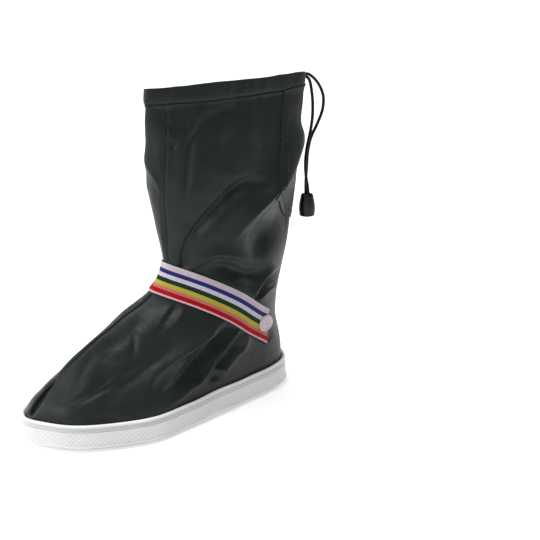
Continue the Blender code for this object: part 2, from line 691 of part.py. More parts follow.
def build_stud(name, side, outside):
    """A press stud's domed cap on the strap's end, square to the cloth under it."""
    line, ahead, across = strap_side()
    y, z = line[-1] - ahead[-1] * STUD_FROM_END + across[-1] * STUD_ABOVE_MIDDLE
    tree = surface_of(outside)
    radius = 0.5 * STUD_DIAMETER
    probes = [(0, 0)] + [(radius * math.cos(a), radius * math.sin(a)) for a in np.arange(12) * math.pi / 6]
    hits, lean = [], Vector((0, 0, 0))
    for dy, dz in probes:
        place, normal, _, _ = tree.ray_cast(Vector((side * BALL_WIDTH, y + dy, z + dz)), Vector((-side, 0, 0)))
        hits.append(place)
        lean += normal
    lean.normalize()
    seat = hits[0]
    proud = max((hit - seat).dot(lean) for hit in hits)
    stud = add_object(name, turned_mesh(name, STUD_CAP, STUD_DIAMETER, STUD_HEIGHT), "stud")
    turn = lean.to_track_quat("Z", "Y").to_matrix().to_4x4()
    stud.matrix_world = Matrix.Translation(seat + lean * (proud + CLEARANCE)) @ turn
    return stud


def build_flap(inside, outside):
    """The storm flap, closed: it starts on the outer side and wraps the back fold of the shaft, under the casing."""
    back = HEEL_Y + SHAFT_SECTIONS[-1].overhang * COLLAR_LENGTH
    top = COLLAR_HEIGHT - CASING_DEPTH - 0.45 * FLAP_REACH
    bottom = top - FLAP_HEIGHT
    front_top = back - FLAP_REACH
    plan = [
        (front_top - FLAP_SLANT, bottom + FLAP_BOTTOM_RISE),
        (back + FLAP_REACH, bottom),
        (back + FLAP_REACH, top),
        (front_top, top),
    ]
    flap = add_object("back_flap", to_mesh(side_prism(plan, 0.5 * BALL_WIDTH, FLAP_SKEW), "back_flap"), "flap")
    boolean(flap, "INTERSECT", outside)
    boolean(flap, "DIFFERENCE", inside)
    return flap


def cord_exit(boot):
    """Where the cords leave the casing: on the shaft's back, a little under the collar's edge."""
    tree = BVHTree.FromPolygons(*boot_faces(boot))
    reach = HEEL_Y + COLLAR_LENGTH
    sideways = SHAFT_SECTIONS[-1].back_side * COLLAR_LENGTH
    last = SHAFT_SECTIONS[-1].back_rise * (COLLAR_HEIGHT - INSTEP_HEIGHT) + INSTEP_HEIGHT
    start = Vector((sideways, reach, last - CORD_EXIT_BELOW))
    place, _, _, _ = tree.ray_cast(start, Vector((0, -1, 0)))
    return place


def boot_faces(boot):
    rings, corners = boot.outer.shape[:2]
    points = [tuple(p) for p in boot.outer.reshape(-1, 3)]
    faces = []
    for r in range(rings - 1):
        for s in range(corners):
            following = (s + 1) % corners
            faces.append((r * corners + s, r * corners + following, (r + 1) * corners + following, (r + 1) * corners + s))
    return points, faces


def build_cord(name, route, exit_place):
    """One end of the drawstring: a round cord from the casing down to the stopper."""
    start = exit_place + Vector((0, CLEARANCE, 0))
    knots = [(start.x + p.side, start.y + p.out, start.z - p.down) for p in route]
    path = smooth_path(knots, np.linspace(0, len(knots) - 1, 24))
    curve = bpy.data.curves.new(name, "CURVE")
    curve.dimensions = "3D"
    curve.bevel_depth = 0.5 * CORD_DIAMETER
    curve.bevel_resolution = 2
    curve.use_fill_caps = True
    spline = curve.splines.new("POLY")
    spline.points.add(len(path) - 1)
    for point, place in zip(spline.points, path):
        point.co = (*place, 1.0)
    curve.materials.append(material("cord"))
    cord = bpy.data.objects.new(name, curve)
    bpy.context.scene.collection.objects.link(cord)
    return cord


def build_stopper(exit_place):
    """The bell-shaped cord stopper that both cord ends run into, hanging below them."""
    end = NEAR_CORD[-1]
    side = 0.5 * (NEAR_CORD[-1].side + FAR_CORD[-1].side)
    bell = turned_mesh("cord_stopper", STOPPER_BELL, STOPPER_WIDTH, STOPPER_LENGTH)
    bell.transform(Matrix.Diagonal((1, STOPPER_THICKNESS / STOPPER_WIDTH, 1, 1)))
    stopper = add_object("cord_stopper", bell, "stopper")
    stopper.rotation_euler = (math.pi, 0, STOPPER_TURN)
    stopper.location = exit_place + Vector((side, CLEARANCE + end.out, -end.down - CLEARANCE))
    return stopper


def main():
    clear_scene()
    boot = Boot()
    build_outsole()
    build_upper(boot)
    strap_inside = boot.form("strap_inner_form", CLEARANCE)
    strap_outside = boot.form("strap_outer_form", CLEARANCE + STRAP_THICKNESS)
    build_strap(strap_inside, strap_outside)
    bpy.context.view_layer.update()
    build_stud("stud_outer", 1, strap_outside)
    build_stud("stud_inner", -1, strap_outside)
    flap_outside = boot.form("flap_outer_form", CLEARANCE + FLAP_THICKNESS)
    build_flap(strap_inside, flap_outside)
    exit_place = cord_exit(boot)
    build_cord("drawcord_near", NEAR_CORD, exit_place)
    build_cord("drawcord_far", FAR_CORD, exit_place)
    build_stopper(exit_place)


main()
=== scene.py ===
"""Looks of the left rain overshoe: slack coated boot cloth, pale moulded sole, striped strap with press
studs, storm flap, and the drawstring's ends in their stopper."""

import math
from collections import namedtuple

import bmesh
import bpy
import numpy as np
from mathutils import Matrix, Vector
from mathutils.bvhtree import BVHTree


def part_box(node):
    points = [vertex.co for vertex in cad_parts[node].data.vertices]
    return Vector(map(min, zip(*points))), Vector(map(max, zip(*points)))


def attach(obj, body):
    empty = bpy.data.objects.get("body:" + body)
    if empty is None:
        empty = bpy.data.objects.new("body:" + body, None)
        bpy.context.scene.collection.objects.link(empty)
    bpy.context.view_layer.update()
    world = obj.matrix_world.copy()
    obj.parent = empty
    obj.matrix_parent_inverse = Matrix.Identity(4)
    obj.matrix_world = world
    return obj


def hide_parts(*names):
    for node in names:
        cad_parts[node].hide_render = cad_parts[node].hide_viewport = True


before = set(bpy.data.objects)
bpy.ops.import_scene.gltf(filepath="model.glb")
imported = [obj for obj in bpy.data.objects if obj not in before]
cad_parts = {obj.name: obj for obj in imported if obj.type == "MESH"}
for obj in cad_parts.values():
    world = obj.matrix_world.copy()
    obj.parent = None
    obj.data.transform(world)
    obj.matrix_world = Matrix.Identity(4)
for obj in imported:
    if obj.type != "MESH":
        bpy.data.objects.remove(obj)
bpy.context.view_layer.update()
bpy.ops.object.select_all(action="DESELECT")
scene = bpy.context.scene


# Camera, floor and studio light
# The camera stands in front of the outer side, a little above it, as far off as in the photograph. The
# floor is white paper. Soft boxes give the light: one above, two at the left, and a smaller one at the
# right behind.

lens = bpy.data.cameras.new("camera")
lens.sensor_width = 36.0
lens.lens = 209.5
camera = bpy.data.objects.new("camera", lens)
camera.location = (2.2094, -1.7400, 1.2804)
camera.rotation_euler = (math.radians(67.53), 0.0, math.radians(51.34))
scene.collection.objects.link(camera)
scene.camera = camera
scene.view_settings.view_transform = "Standard"

bpy.ops.mesh.primitive_plane_add(size=8.0)
floor = bpy.context.object
floor.name = "studio_floor"
floor_paint = bpy.data.materials.new("studio_floor")
floor_paint.use_nodes = True
floor_shader = floor_paint.node_tree.nodes["Principled BSDF"]
floor_shader.inputs["Base Color"].default_value = (0.75, 0.75, 0.75, 1.0)
floor_shader.inputs["Emission Color"].default_value = (1.0, 1.0, 1.0, 1.0)
floor_shader.inputs["Emission Strength"].default_value = 0.32
floor_shader.inputs["Roughness"].default_value = 0.9
floor_shader.inputs["Specular IOR Level"].default_value = 0.1
floor.data.materials.append(floor_paint)

world = bpy.data.worlds.new("studio")
world.use_nodes = True
world.node_tree.nodes["Background"].inputs["Color"].default_value = (1.0, 1.0, 1.0, 1.0)
world.node_tree.nodes["Background"].inputs["Strength"].default_value = 0.10
scene.world = world

Softbox = namedtuple("Softbox", "name place target size power")
for box in [
    Softbox("light_above", (-0.3, 0.0, 2.4), (0.0, -0.05, 0.0), 1.3, 60.0),
    Softbox("light_left", (-1.1, -2.2, 1.2), (0.0, -0.10, 0.20), 1.2, 44.0),
    Softbox("light_front", (1.0, -2.4, 1.6), (0.0, -0.05, 0.20), 0.9, 34.0),
    Softbox("light_right", (0.0, 2.4, 1.2), (0.0, 0.0, 0.15), 0.5, 26.0),
]:
    lamp = bpy.data.lights.new(box.name, "AREA")
    lamp.size = box.size
    lamp.energy = box.power
    light = bpy.data.objects.new(box.name, lamp)
    light.location = box.place
    light.rotation_euler = (Vector(box.place) - Vector(box.target)).to_track_quat("Z", "Y").to_euler()
    scene.collection.objects.link(light)


# Drawstring ends
# Braided black cord, 3 mm thick. The two ends leave the casing at the back of the collar, hang down behind
# the shaft, cross and run into the stopper. Their routes are drawn from the exit: millimetres out, down and
# sideways.

CORD_THICKNESS = 0.0030
CASING_EXIT = (0.01392, 0.056952, 0.30595)
HAIR = 0.0003
MM = 1000.0
NEAR_ROUTE = [
    (0, 0, 0), (3.6, 0.3, 0.3), (6.4, 4, 1.2), (7.8, 12, 2.2), (9, 26, 3), (8.4, 42, 3.4), (5.6, 57, 3.4),
    (2, 72, 3), (1.2, 86, 2), (2.8, 100, 0.8), (5.6, 112, 0), (6.6, 121, 0),
]
FAR_ROUTE = [
    (0, -1, -4.2), (4.4, -1.4, -4.2), (11, 1, -4), (20.5, 11, -3.4), (26.8, 25, -2.8), (25.8, 39, -2.4),
    (19, 52, -2), (11.2, 64, -1.8), (7.4, 78, -2), (6.8, 94, -2.8), (6.6, 109, -3.8), (6.6, 121, -3.8),
]


def smooth_through(points, at):
    """Points of a smooth curve through the given ones, read at parameters counted in points."""
    known = np.asarray(points, float)
    at = np.asarray(at, float)
    span = np.clip(np.floor(at).astype(int), 0, len(known) - 2)
    first, second = known[span], known[span + 1]
    before = np.where((span > 0)[:, None], known[np.maximum(span - 1, 0)], 2 * first - second)
    after = np.where(
        (span < len(known) - 2)[:, None], known[np.minimum(span + 2, len(known) - 1)], 2 * second - first
    )
    t = (at - span)[:, None]
    gap, gap_before, gap_after = (
        np.linalg.norm(b - a, axis=1)[:, None]
        for a, b in ((first, second), (before, first), (second, after))
    )
    slope_first = (second - before) * gap / np.maximum(gap + gap_before, 1e-9)
    slope_second = (after - first) * gap / np.maximum(gap + gap_after, 1e-9)
    return (
        (2 * t**3 - 3 * t**2 + 1) * first
        + (t**3 - 2 * t**2 + t) * slope_first
        + (3 * t**2 - 2 * t**3) * second
        + (t**3 - t**2) * slope_second
    )


def shader_of(name, colour, roughness, values=()):
    """A new material, its shader, a function that adds a node with its values, and one that links."""
    made = bpy.data.materials.new(name)
    made.use_nodes = True
    tree = made.node_tree
    shader = tree.nodes["Principled BSDF"]
    for key, value in (("Base Color", (*colour, 1.0)), ("Roughness", roughness), *values):
        shader.inputs[key].default_value = value

    def node(kind, **values):
        added = tree.nodes.new(kind)
        for key, value in values.items():
            if key in added.inputs:
                added.inputs[key].default_value = value
            else:
                setattr(added, key, value)
        return added

    return made, shader, node, tree.links.new


def pattern(kind, output="Fac", where=None, **values):
    """The output of a texture node, laid on the object's own coordinates unless others are given."""
    made = node(kind, **values)
    if where is None:
        where = node("ShaderNodeTexCoord").outputs["Object"]
    link(where, made.inputs["Vector"])
    return made.outputs[output]


def bumped(height, strength, distance, under=None):
    """The output of a node that raises a surface by a height, on top of another bump if one is given."""
    made = node("ShaderNodeBump", Strength=strength, Distance=distance)
    link(height, made.inputs["Height"])
    if under is not None:
        link(under, made.inputs["Normal"])
    return made.outputs["Normal"]


braid, braid_shader, node, link = shader_of("braided_cord", (0.003, 0.003, 0.004), 0.62, (
    ("Specular IOR Level", 0.2),
))
weave = pattern(
    "ShaderNodeTexWave", wave_type="BANDS", bands_direction="DIAGONAL", Scale=260.0, Distortion=1.5
)
link(bumped(weave, 0.6, 0.0003), braid_shader.inputs["Normal"])

cords = []
for name, route in (("drawcord_near_end", NEAR_ROUTE), ("drawcord_far_end", FAR_ROUTE)):
    knots = [
        (CASING_EXIT[0] + side / MM, CASING_EXIT[1] + HAIR + out / MM, CASING_EXIT[2] - down / MM)
        for out, down, side in route
    ]
    middle_line = smooth_through(knots, np.linspace(0, len(knots) - 1, 56))
    curve = bpy.data.curves.new(name, "CURVE")
    curve.dimensions = "3D"
    curve.bevel_depth = 0.5 * CORD_THICKNESS
    curve.bevel_resolution = 4
    curve.use_fill_caps = True
    strand = curve.splines.new("POLY")
    strand.points.add(len(middle_line) - 1)
    for point, at in zip(strand.points, middle_line):
        point.co = (*at, 1.0)
    curve.materials.append(braid)
    cord = bpy.data.objects.new(name, curve)
    scene.collection.objects.link(cord)
    cord["run"] = float(np.linalg.norm(np.diff(middle_line, axis=0), axis=1).sum())
    cord["start"] = [float(v) for v in middle_line[0]]
    cords.append(cord)


# Cord stopper
# A flattened hollow bell of glossy black plastic with a narrower neck, moulded in one piece, that the cord
# ends fill.

STOPPER_TOP = (0.01202, 0.063852, 0.184650)
STOPPER_WIDTH = 0.0158
STOPPER_THICKNESS = 0.0115
STOPPER_LENGTH = 0.0225
STOPPER_TURN = math.radians(52)
BELL = [
    (0.22, -0.01), (0.3, 0), (0.35, 0.012), (0.385, 0.045), (0.395, 0.085), (0.4, 0.13), (0.42, 0.2),
    (0.455, 0.32), (0.485, 0.45), (0.5, 0.59), (0.498, 0.74), (0.488, 0.85), (0.476, 0.862), (0.484, 0.88),
    (0.47, 0.95), (0.44, 0.985), (0.38, 1), (0.33, 1), (0.31, 0.975), (0.15, 0.965),
]


def ranged(value, low, high, to_low=0.0, to_high=1.0, interpolation_type="LINEAR"):
    """The output of a node that takes a value from one range to another and holds it there."""
    made = node("ShaderNodeMapRange", interpolation_type=interpolation_type)
    for socket, number in zip(("From Min", "From Max", "To Min", "To Max"), (low, high, to_low, to_high)):
        made.inputs[socket].default_value = number
    link(value, made.inputs["Value"])
    return made.outputs["Result"]


def edit_all():
    """Opens the active piece for editing with all of it selected."""
    bpy.ops.object.mode_set(mode="EDIT")
    bpy.ops.mesh.select_all(action="SELECT")


def face_outward():
    """Turns the faces of the active piece outward."""
    edit_all()
    bpy.ops.mesh.normals_make_consistent(inside=False)
    bpy.ops.object.mode_set(mode="OBJECT")


def turn_up(name, profile, width, length, corners):
    """A turned piece on the +Z axis, extruded ring by ring from its first radius, closed at both ends."""
    bpy.ops.mesh.primitive_circle_add(
        vertices=corners, radius=profile[0][0] * width, fill_type="NGON",
        location=(0, 0, profile[0][1] * length),
    )
    made = bpy.context.object
    made.name = made.data.name = name
    bpy.ops.object.transform_apply()
    edit_all()
    for (radius, height), (next_radius, next_height) in zip(profile, profile[1:]):
        bpy.ops.mesh.extrude_region_move(
            TRANSFORM_OT_translate={"value": (0, 0, (next_height - height) * length)}
        )
        share = next_radius / radius
        bpy.ops.transform.resize(value=(share, share, 1), center_override=(0, 0, next_height * length))
    bpy.ops.object.mode_set(mode="OBJECT")
    face_outward()
    bpy.ops.object.shade_smooth_by_angle(angle=math.radians(38))
    return made


def settle(made, matrix):
    """Moves a piece's mesh to its place and leaves its object at the origin."""
    made.data.transform(matrix)
    made.matrix_world = Matrix.Identity(4)
    made.select_set(False)


stopper = turn_up("cord_stopper_bell", BELL, STOPPER_WIDTH, STOPPER_LENGTH, 48)
flatten = Matrix.Diagonal((1, STOPPER_THICKNESS / STOPPER_WIDTH, 1, 1))
hang = Matrix.Rotation(STOPPER_TURN, 4, "Z") @ Matrix.Rotation(math.pi, 4, "X")
settle(stopper, Matrix.Translation(STOPPER_TOP) @ hang @ flatten)
bell_black, bell_shader, node, link = shader_of("stopper_black", (0.002, 0.002, 0.003), 0.26, (
    ("Specular IOR Level", 0.3),
))
scuffs = pattern("ShaderNodeTexNoise", Scale=420.0, Detail=4.0)
link(ranged(scuffs, 0.0, 1.0, 0.20, 0.42), bell_shader.inputs["Roughness"])
stopper.data.materials.append(bell_black)
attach(stopper, "root")
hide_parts("cord_stopper")

for cord, node_name in zip(cords, ("drawcord_near", "drawcord_far")):
    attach(cord, "root")
    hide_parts(node_name)


# Moulded sole
# One casting of pale, slightly milky soft PVC: a tray with a bead at its foot, a side wall with a diamond
# grain under a plain band, and a thin lip that grips the boot's edge. A mould line shows at the toe and at
# the heel.

SOLE_LENGTH = 0.298
BALL_WIDTH = 0.114
WAIST_WIDTH = 0.085
HEEL_WIDTH = 0.071
TOE_INSET = 0.012
HEEL_CENTRE = 0.040
SOLE_HEIGHT = 0.0260
LUG_DEPTH = 0.0022
TOE_Y = HEEL_CENTRE - SOLE_LENGTH
GRAIN_BOTTOM = 0.0050
GRAIN_TOP = 0.0187
GRAIN_PITCH = 0.0046
PLAIN_BAND = (0.0200, 0.0238)
DOTTED_LINE = (0.0190, 0.0197)
DOT_PITCH = 0.0023
TOE_SPRING = 0.0040
SPRING_LENGTH = 0.070
ARCH_LIFT = 0.0012
MOULD_LINE = 0.0005
MOULD_LINE_WIDTH = 0.0008
SOLE_COLUMNS = 280
# The outline from the toe round the outer side: the share of the length, then shares of the ball's, waist's
# and heel's widths and of the toe's inset.
OUTLINE = [
    (0, 0, 0, 0, -1), (0.028, 0.16, 0, 0, -1), (0.09, 0.325, 0, 0, -0.8), (0.2, 0.435, 0, 0, -0.4),
    (0.345, 0.515, 0, 0, 0), (0.5, 0.33, 0.2, 0, 0), (0.66, 0, 0.56, 0, 0), (0.79, 0, 0.29, 0.23, 0),
    (0.89, 0, 0, 0.5, 0), (0.965, 0, 0, 0.33, 0), (1, 0, 0, 0, 0), (0.965, 0, 0, -0.33, 0),
    (0.89, 0, 0, -0.49, 0), (0.79, 0, -0.12, -0.345, 0), (0.64, 0, -0.415, 0, 0),
    (0.49, -0.27, -0.12, 0, 0), (0.335, -0.465, 0, 0, 0), (0.2, -0.44, 0, 0, -0.2),
    (0.09, -0.315, 0, 0, -0.7), (0.028, -0.165, 0, 0, -1),
]
# The wall from the tread up, over the lip and down inside: millimetres in from the outline, millimetres up,
# and the share of the way in to the sole's middle line.
SOLE_WALL = [
    (6.9, 2.2, 1), (6.9, 2.2, 0.6), (6.9, 2.2, 0.2), (6.9, 2.2, 0), (4, 2.2, 0), (2.1, 2.8, 0),
    (0.9, 3.7, 0), (0.3, 4.8, 0), (0.1, 5.2, 0), (0.3, 5.6, 0), (0.6, 6.2, 0), (0.8, 8, 0), (0.9, 11, 0),
    (1.1, 14.5, 0), (1.3, 18, 0), (1.4, 18.8, 0), (1.9, 19.1, 0), (1.9, 19.5, 0), (1.5, 19.9, 0),
    (1.7, 20.8, 0), (2, 22, 0), (2.2, 23.3, 0), (2.1, 23.8, 0), (1.6, 24.2, 0), (1.4, 24.9, 0),
    (1.6, 25.6, 0), (2.2, 26, 0), (3.1, 26.2, 0), (4.1, 26, 0), (4.7, 25.4, 0), (4.9, 24.4, 0), (5, 15, 0),
    (5, 6.2, 0), (5, 6.2, 0.25), (5, 6.2, 0.6), (5, 6.2, 1),
]


def lift(y):
    """How far the sole is off the floor at y: the toe spring, and the arch between ball and heel."""
    from_toe = np.asarray(y) - TOE_Y
    spring = TOE_SPRING * np.clip(1 - from_toe / SPRING_LENGTH, 0, 1) ** 2
    return spring + ARCH_LIFT * np.sin(math.pi * np.clip((from_toe / SOLE_LENGTH - 0.50) / 0.24, 0, 1)) ** 2


def soften(x):
    """A smooth step from 0 to 1."""
    x = np.clip(x, 0, 1)
    return x * x * (3 - 2 * x)


def round_shares(count, closeness):
    """Shares of a closed loop for its corners, closer together at its start and half way round."""
    turn = np.arange(count) / count
    return turn - closeness * np.sin(4 * math.pi * turn) / (4 * math.pi)


def run_along(line):
    """How far along a line of points each of them is."""
    return np.concatenate([[0.0], np.cumsum(np.linalg.norm(np.diff(line, axis=0), axis=1))])


def read_at(line, run, at):
    """The points of a line where its run has the given values."""
    return np.stack([np.interp(at, run, line[:, k]) for k in range(line.shape[1])], axis=-1)


def along_loop(loop, shares):
    """Points of a dense closed loop at shares of its length, and the length."""
    closed = np.vstack([loop, loop[:1]])
    run = run_along(closed)
    return read_at(closed, run, shares * run[-1]), run[-1]


def closed_curve(knots, samples):
    """A dense closed smooth curve through the knots."""
    knots = np.asarray(knots)
    wrapped = np.vstack([knots[-3:], knots, knots[:3]])
    return smooth_through(wrapped, 3 + np.arange(len(knots) * samples) / samples)


def sheet(name, points, laid, closed=False):
    """A surface of rows of points, from a grid primitive, with its flat lay as its texture coordinates."""
    rows, columns = points.shape[:2]
    bpy.ops.mesh.primitive_grid_add(x_subdivisions=columns - 1, y_subdivisions=rows - 1, size=1.0)
    made = bpy.context.object
    made.name = made.data.name = name
    made.data.vertices.foreach_set("co", points.reshape(-1))
    corner_of = np.empty(len(made.data.loops), int)
    made.data.loops.foreach_get("vertex_index", corner_of)
    made.data.uv_layers[0].name = "lay"
    made.data.uv_layers["lay"].data.foreach_set("uv", laid.reshape(-1, 2)[corner_of].reshape(-1))
    if closed:
        edit_all()
        bpy.ops.mesh.remove_doubles(threshold=0.000002)
        bpy.ops.object.mode_set(mode="OBJECT")
    made.data.shade_smooth()
    made.data.update()
    return made


widths = np.array([BALL_WIDTH, WAIST_WIDTH, HEEL_WIDTH, TOE_INSET])
outline = closed_curve(
    [(float(np.dot(row[1:], widths)), TOE_Y + row[0] * SOLE_LENGTH) for row in OUTLINE], 40
)
sole_shares = np.append(round_shares(SOLE_COLUMNS, 0.72), 1.0)
edge, girth = along_loop(outline, sole_shares)
after_edge, before_edge = (along_loop(outline, (sole_shares + step) % 1)[0] for step in (0.001, -0.001))
ahead = after_edge - before_edge
inward = np.stack([-ahead[:, 1], ahead[:, 0]], axis=1)
inward /= np.linalg.norm(inward, axis=1)[:, None]
round_from_seam = np.minimum(np.abs(sole_shares - np.round(sole_shares)), np.abs(sole_shares - 0.5)) * girth
mould_line = MOULD_LINE * np.exp(-((round_from_seam / MOULD_LINE_WIDTH) ** 2))
outer_half = edge[sole_shares <= 0.5]
inner_half = edge[sole_shares >= 0.5][::-1]
rows, laid = [], []
for inset, height, way_in in SOLE_WALL:
    on_wall = 3.0 < height < 24.0 and inset < 4.5
    height /= MM
    ring = edge + inward * (inset / MM - mould_line * on_wall)[:, None]
    spine = 0.5 * (
        np.interp(ring[:, 1], outer_half[:, 1], outer_half[:, 0])
        + np.interp(ring[:, 1], inner_half[:, 1], inner_half[:, 0])
    )
    ring[:, 0] += (spine - ring[:, 0]) * way_in
    rows.append(np.column_stack([ring, height + lift(ring[:, 1])]))
    laid.append(np.column_stack([sole_shares * girth, np.full(len(ring), height)]))
sole = sheet("moulded_sole", np.array(rows), np.array(laid), closed=True)
face_outward()
bpy.ops.object.shade_smooth_by_angle(angle=math.radians(50))
sole.select_set(False)

pvc, pvc_shader, node, link = shader_of("milky_pvc", (0.72, 0.72, 0.71), 0.42, (
    ("Subsurface Weight", 0.20), ("Subsurface Radius", (0.004, 0.004, 0.004)),
    ("Subsurface Scale", 1.0), ("Coat Weight", 0.12), ("Coat Roughness", 0.3)
))


def sums(first, second, operation):
    """A node that reckons with two values, each a socket or a number."""
    made = node("ShaderNodeMath", operation=operation)
    for socket, value in zip(made.inputs, (first, second)):
        if isinstance(value, (int, float)):
            socket.default_value = value
        else:
            link(value, socket)
    return made.outputs[0]


def band(value, low, high, soft):
    """A mask that is 1 between two values."""
    rise, fall = (
        ranged(value, at - soft, at + soft, interpolation_type="SMOOTHSTEP") for at in (low, high)
    )
    return sums(rise, fall, "SUBTRACT")


def tint(factor, first, second, kind="MIX"):
    """A node that mixes two colours, each a socket or a colour, by a factor."""
    made = node("ShaderNodeMix", data_type="RGBA", blend_type=kind)
    for key, value in (("Factor", factor), ("A", first), ("B", second)):
        socket = made.inputs[key]
        if isinstance(value, (tuple, int, float)):
            socket.default_value = (*value, 1.0) if isinstance(value, tuple) else value
        else:
            link(value, socket)
    return made.outputs["Result"]


def waves(value, rate):
    """A sine wave of a value."""
    return sums(sums(value, rate, "MULTIPLY"), 0, "SINE")


def lay_axes():
    """The two texture coordinates of a sheet's flat lay."""
    split = node("ShaderNodeSeparateXYZ")
    link(node("ShaderNodeUVMap", uv_map="lay").outputs["UV"], split.inputs["Vector"])
    return split.outputs["X"], split.outputs["Y"]


round_wall, up_wall = lay_axes()
slants = [
    sums(waves(sums(round_wall, up_wall, operation), math.pi / GRAIN_PITCH), 0, "ABSOLUTE")
    for operation in ("ADD", "SUBTRACT")
]
stone = ranged(sums(slants[0], slants[1], "MINIMUM"), 0.0, 0.42, interpolation_type="SMOOTHSTEP")
in_grain = band(up_wall, GRAIN_BOTTOM, GRAIN_TOP, 0.0004)
height = sums(sums(stone, in_grain, "MULTIPLY"), sums(1.0, in_grain, "SUBTRACT"), "ADD")
link(bumped(height, 0.5, 0.0004), pvc_shader.inputs["Normal"])
cloud = pattern("ShaderNodeTexNoise", Scale=34.0, Detail=4.0)
milky = tint(cloud, (0.60, 0.60, 0.59), (0.78, 0.78, 0.77))
# Painted shade: the colour is darkened to 0.8 in the grooves of the diamond grain, where its bump height is
# low.
shaded = tint(1.0, milky, tint(height, (0.80, 0.80, 0.81), (1.0, 1.0, 1.0)), "MULTIPLY")
# Painted shade: the plain band under the lip is mixed most of the way to a darker grey.
painted_shade_band = band(up_wall, *PLAIN_BAND, 0.0005)
shaded = tint(sums(painted_shade_band, 0.85, "MULTIPLY"), shaded, (0.48, 0.48, 0.47))
dots = waves(round_wall, 2 * math.pi / DOT_PITCH)
line_under = band(up_wall, *DOTTED_LINE, 0.0002)
dotted = sums(line_under, sums(sums(dots, 0.22, "MULTIPLY"), 0.60, "ADD"), "MULTIPLY")
shaded = tint(dotted, shaded, (0.34, 0.34, 0.34))
link(shaded, pvc_shader.inputs["Base Color"])
sole.data.materials.append(pvc)


# Tread
# Swept bars under the ball and the heel, moulded with the sole, each with rounded edges and a groove along
# it.

LUG_LENGTH = 0.0080
LUG_SWEEP = 0.0050
LUG_PITCH = 0.0130
LUG_GROOVE = 0.0009
LUG_ROOT = 0.0006
TREAD_INSET = 0.0078


def join_as(name, made):
    """Joins pieces into one of the given name."""
    for piece in made:
        piece.select_set(True)
    bpy.context.view_layer.objects.active = made[0]
    bpy.ops.object.join()
    joined = bpy.context.object
    joined.name = joined.data.name = name
    return joined


heel_bars = [(k - 2) * LUG_PITCH for k in range(5)]
ball_bars = [TOE_Y + 0.33 * SOLE_LENGTH + (k - 4) * LUG_PITCH for k in range(9)]
rim = edge + inward * TREAD_INSET
rim_outer, rim_inner = rim[sole_shares <= 0.5], rim[sole_shares >= 0.5][::-1]
bars = []
for y in heel_bars + ball_bars:
    left = float(np.interp(y + LUG_SWEEP, rim_outer[:, 1], rim_outer[:, 0]))
    right = float(np.interp(y + LUG_SWEEP, rim_inner[:, 1], rim_inner[:, 0]))
    bottom = float(TOE_SPRING * max(0.0, 1 - (y - TOE_Y) / SPRING_LENGTH) ** 2)
    bpy.ops.mesh.primitive_cube_add(size=1.0)
    bar = bpy.context.object
    edit_all()
    bpy.ops.mesh.bisect(plane_co=(0, 0, 0), plane_no=(1, 0, 0))
    for side in (-0.13, 0.0, 0.13):
        bpy.ops.mesh.select_all(action="SELECT")
        bpy.ops.mesh.bisect(plane_co=(0, side, 0), plane_no=(0, 1, 0))
    bpy.ops.object.mode_set(mode="OBJECT")
    for vertex in bar.data.vertices:
        across_share, along_share, up_share = vertex.co
        groove = LUG_GROOVE if abs(along_share) < 0.05 and up_share < 0 else 0.0
        vertex.co = (
            0.5 * (left + right) + across_share * (left - right),
            y + along_share * LUG_LENGTH + abs(across_share) * 2 * LUG_SWEEP,
            bottom + (groove if up_share < 0 else LUG_DEPTH + LUG_ROOT),
        )
    face_outward()
    soft = bar.modifiers.new("soft_edges", "BEVEL")
    soft.width = 0.0004
    soft.segments = 2
    soft.limit_method = "ANGLE"
    bpy.ops.object.modifier_apply(modifier="soft_edges")
    bar.data.materials.append(pvc)
    bars.append(bar)
    bar.select_set(False)
tread = join_as("tread_bars", bars)
bpy.ops.object.shade_smooth_by_angle(angle=math.radians(35))
tread.select_set(False)
for piece in (sole, tread):
    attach(piece, "root")
    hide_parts("outsole")


# Boot cloth
# Two panels of coated nylon sewn to each other at a raised front seam and a back seam, with a turned hem
# for the drawstring, slack over the foot and ankle. A dark lining shows inside.

CLOTH = 0.0012
COLLAR_HEIGHT = 0.3265
INSTEP_HEIGHT = 0.1325
CASING_DEPTH = 0.018
STRAP_WIDTH = 0.0305
CLOTH_COLUMNS = 300
CLOTH_ROWS = 196
HEM_OFF_RING = 0.0010
ROWS_APART = 0.0003
MERGED = 0.00002
COLLAR_FROM = 0.29
COLLAR_UPWARD = 0.45
CLOTH_FOOT = 0.0065
HEM_GROOVE = 0.0010
HEM_GROOVE_WIDTH = 0.0011
# The hem's gathers are given as share of the depth, length and start, and the cloth's ripples as length and
# size.
GATHER_DEPTH = 0.00016
GATHER_FADE = 0.018
GATHERS = [(1.0, 0.0021, 0.0), (0.8, 0.0034, 1.0), (0.6, 0.0057, 0.0)]
RIPPLES = [(0.085, 0.0010), (0.050, 0.0006), (0.030, 0.00028)]
RIPPLES_OF_EACH = 4
SEAM_GROOVE = 0.0014
SEAM_GROOVE_OFF = 0.0030
SEAM_GROOVE_WIDTH = 0.0011
SEAM_SINK = 0.0010
SEAM_SINK_WIDTH = 0.0024
SEAM_SINK_FROM = 0.135
SEAM_EASE = 0.004
STRAP_BITE = 0.001
STRAP_EASE = 0.005
BEHIND_STRAP = 0.010
TROUGH_UNDER_STRAP = 0.30
LIP_EASE = 0.006
FAR_SIDE_SHARE = 0.8
FAR_SIDE_SHIFT = (0.006, -0.005)
CREASE_ENDS = 0.35
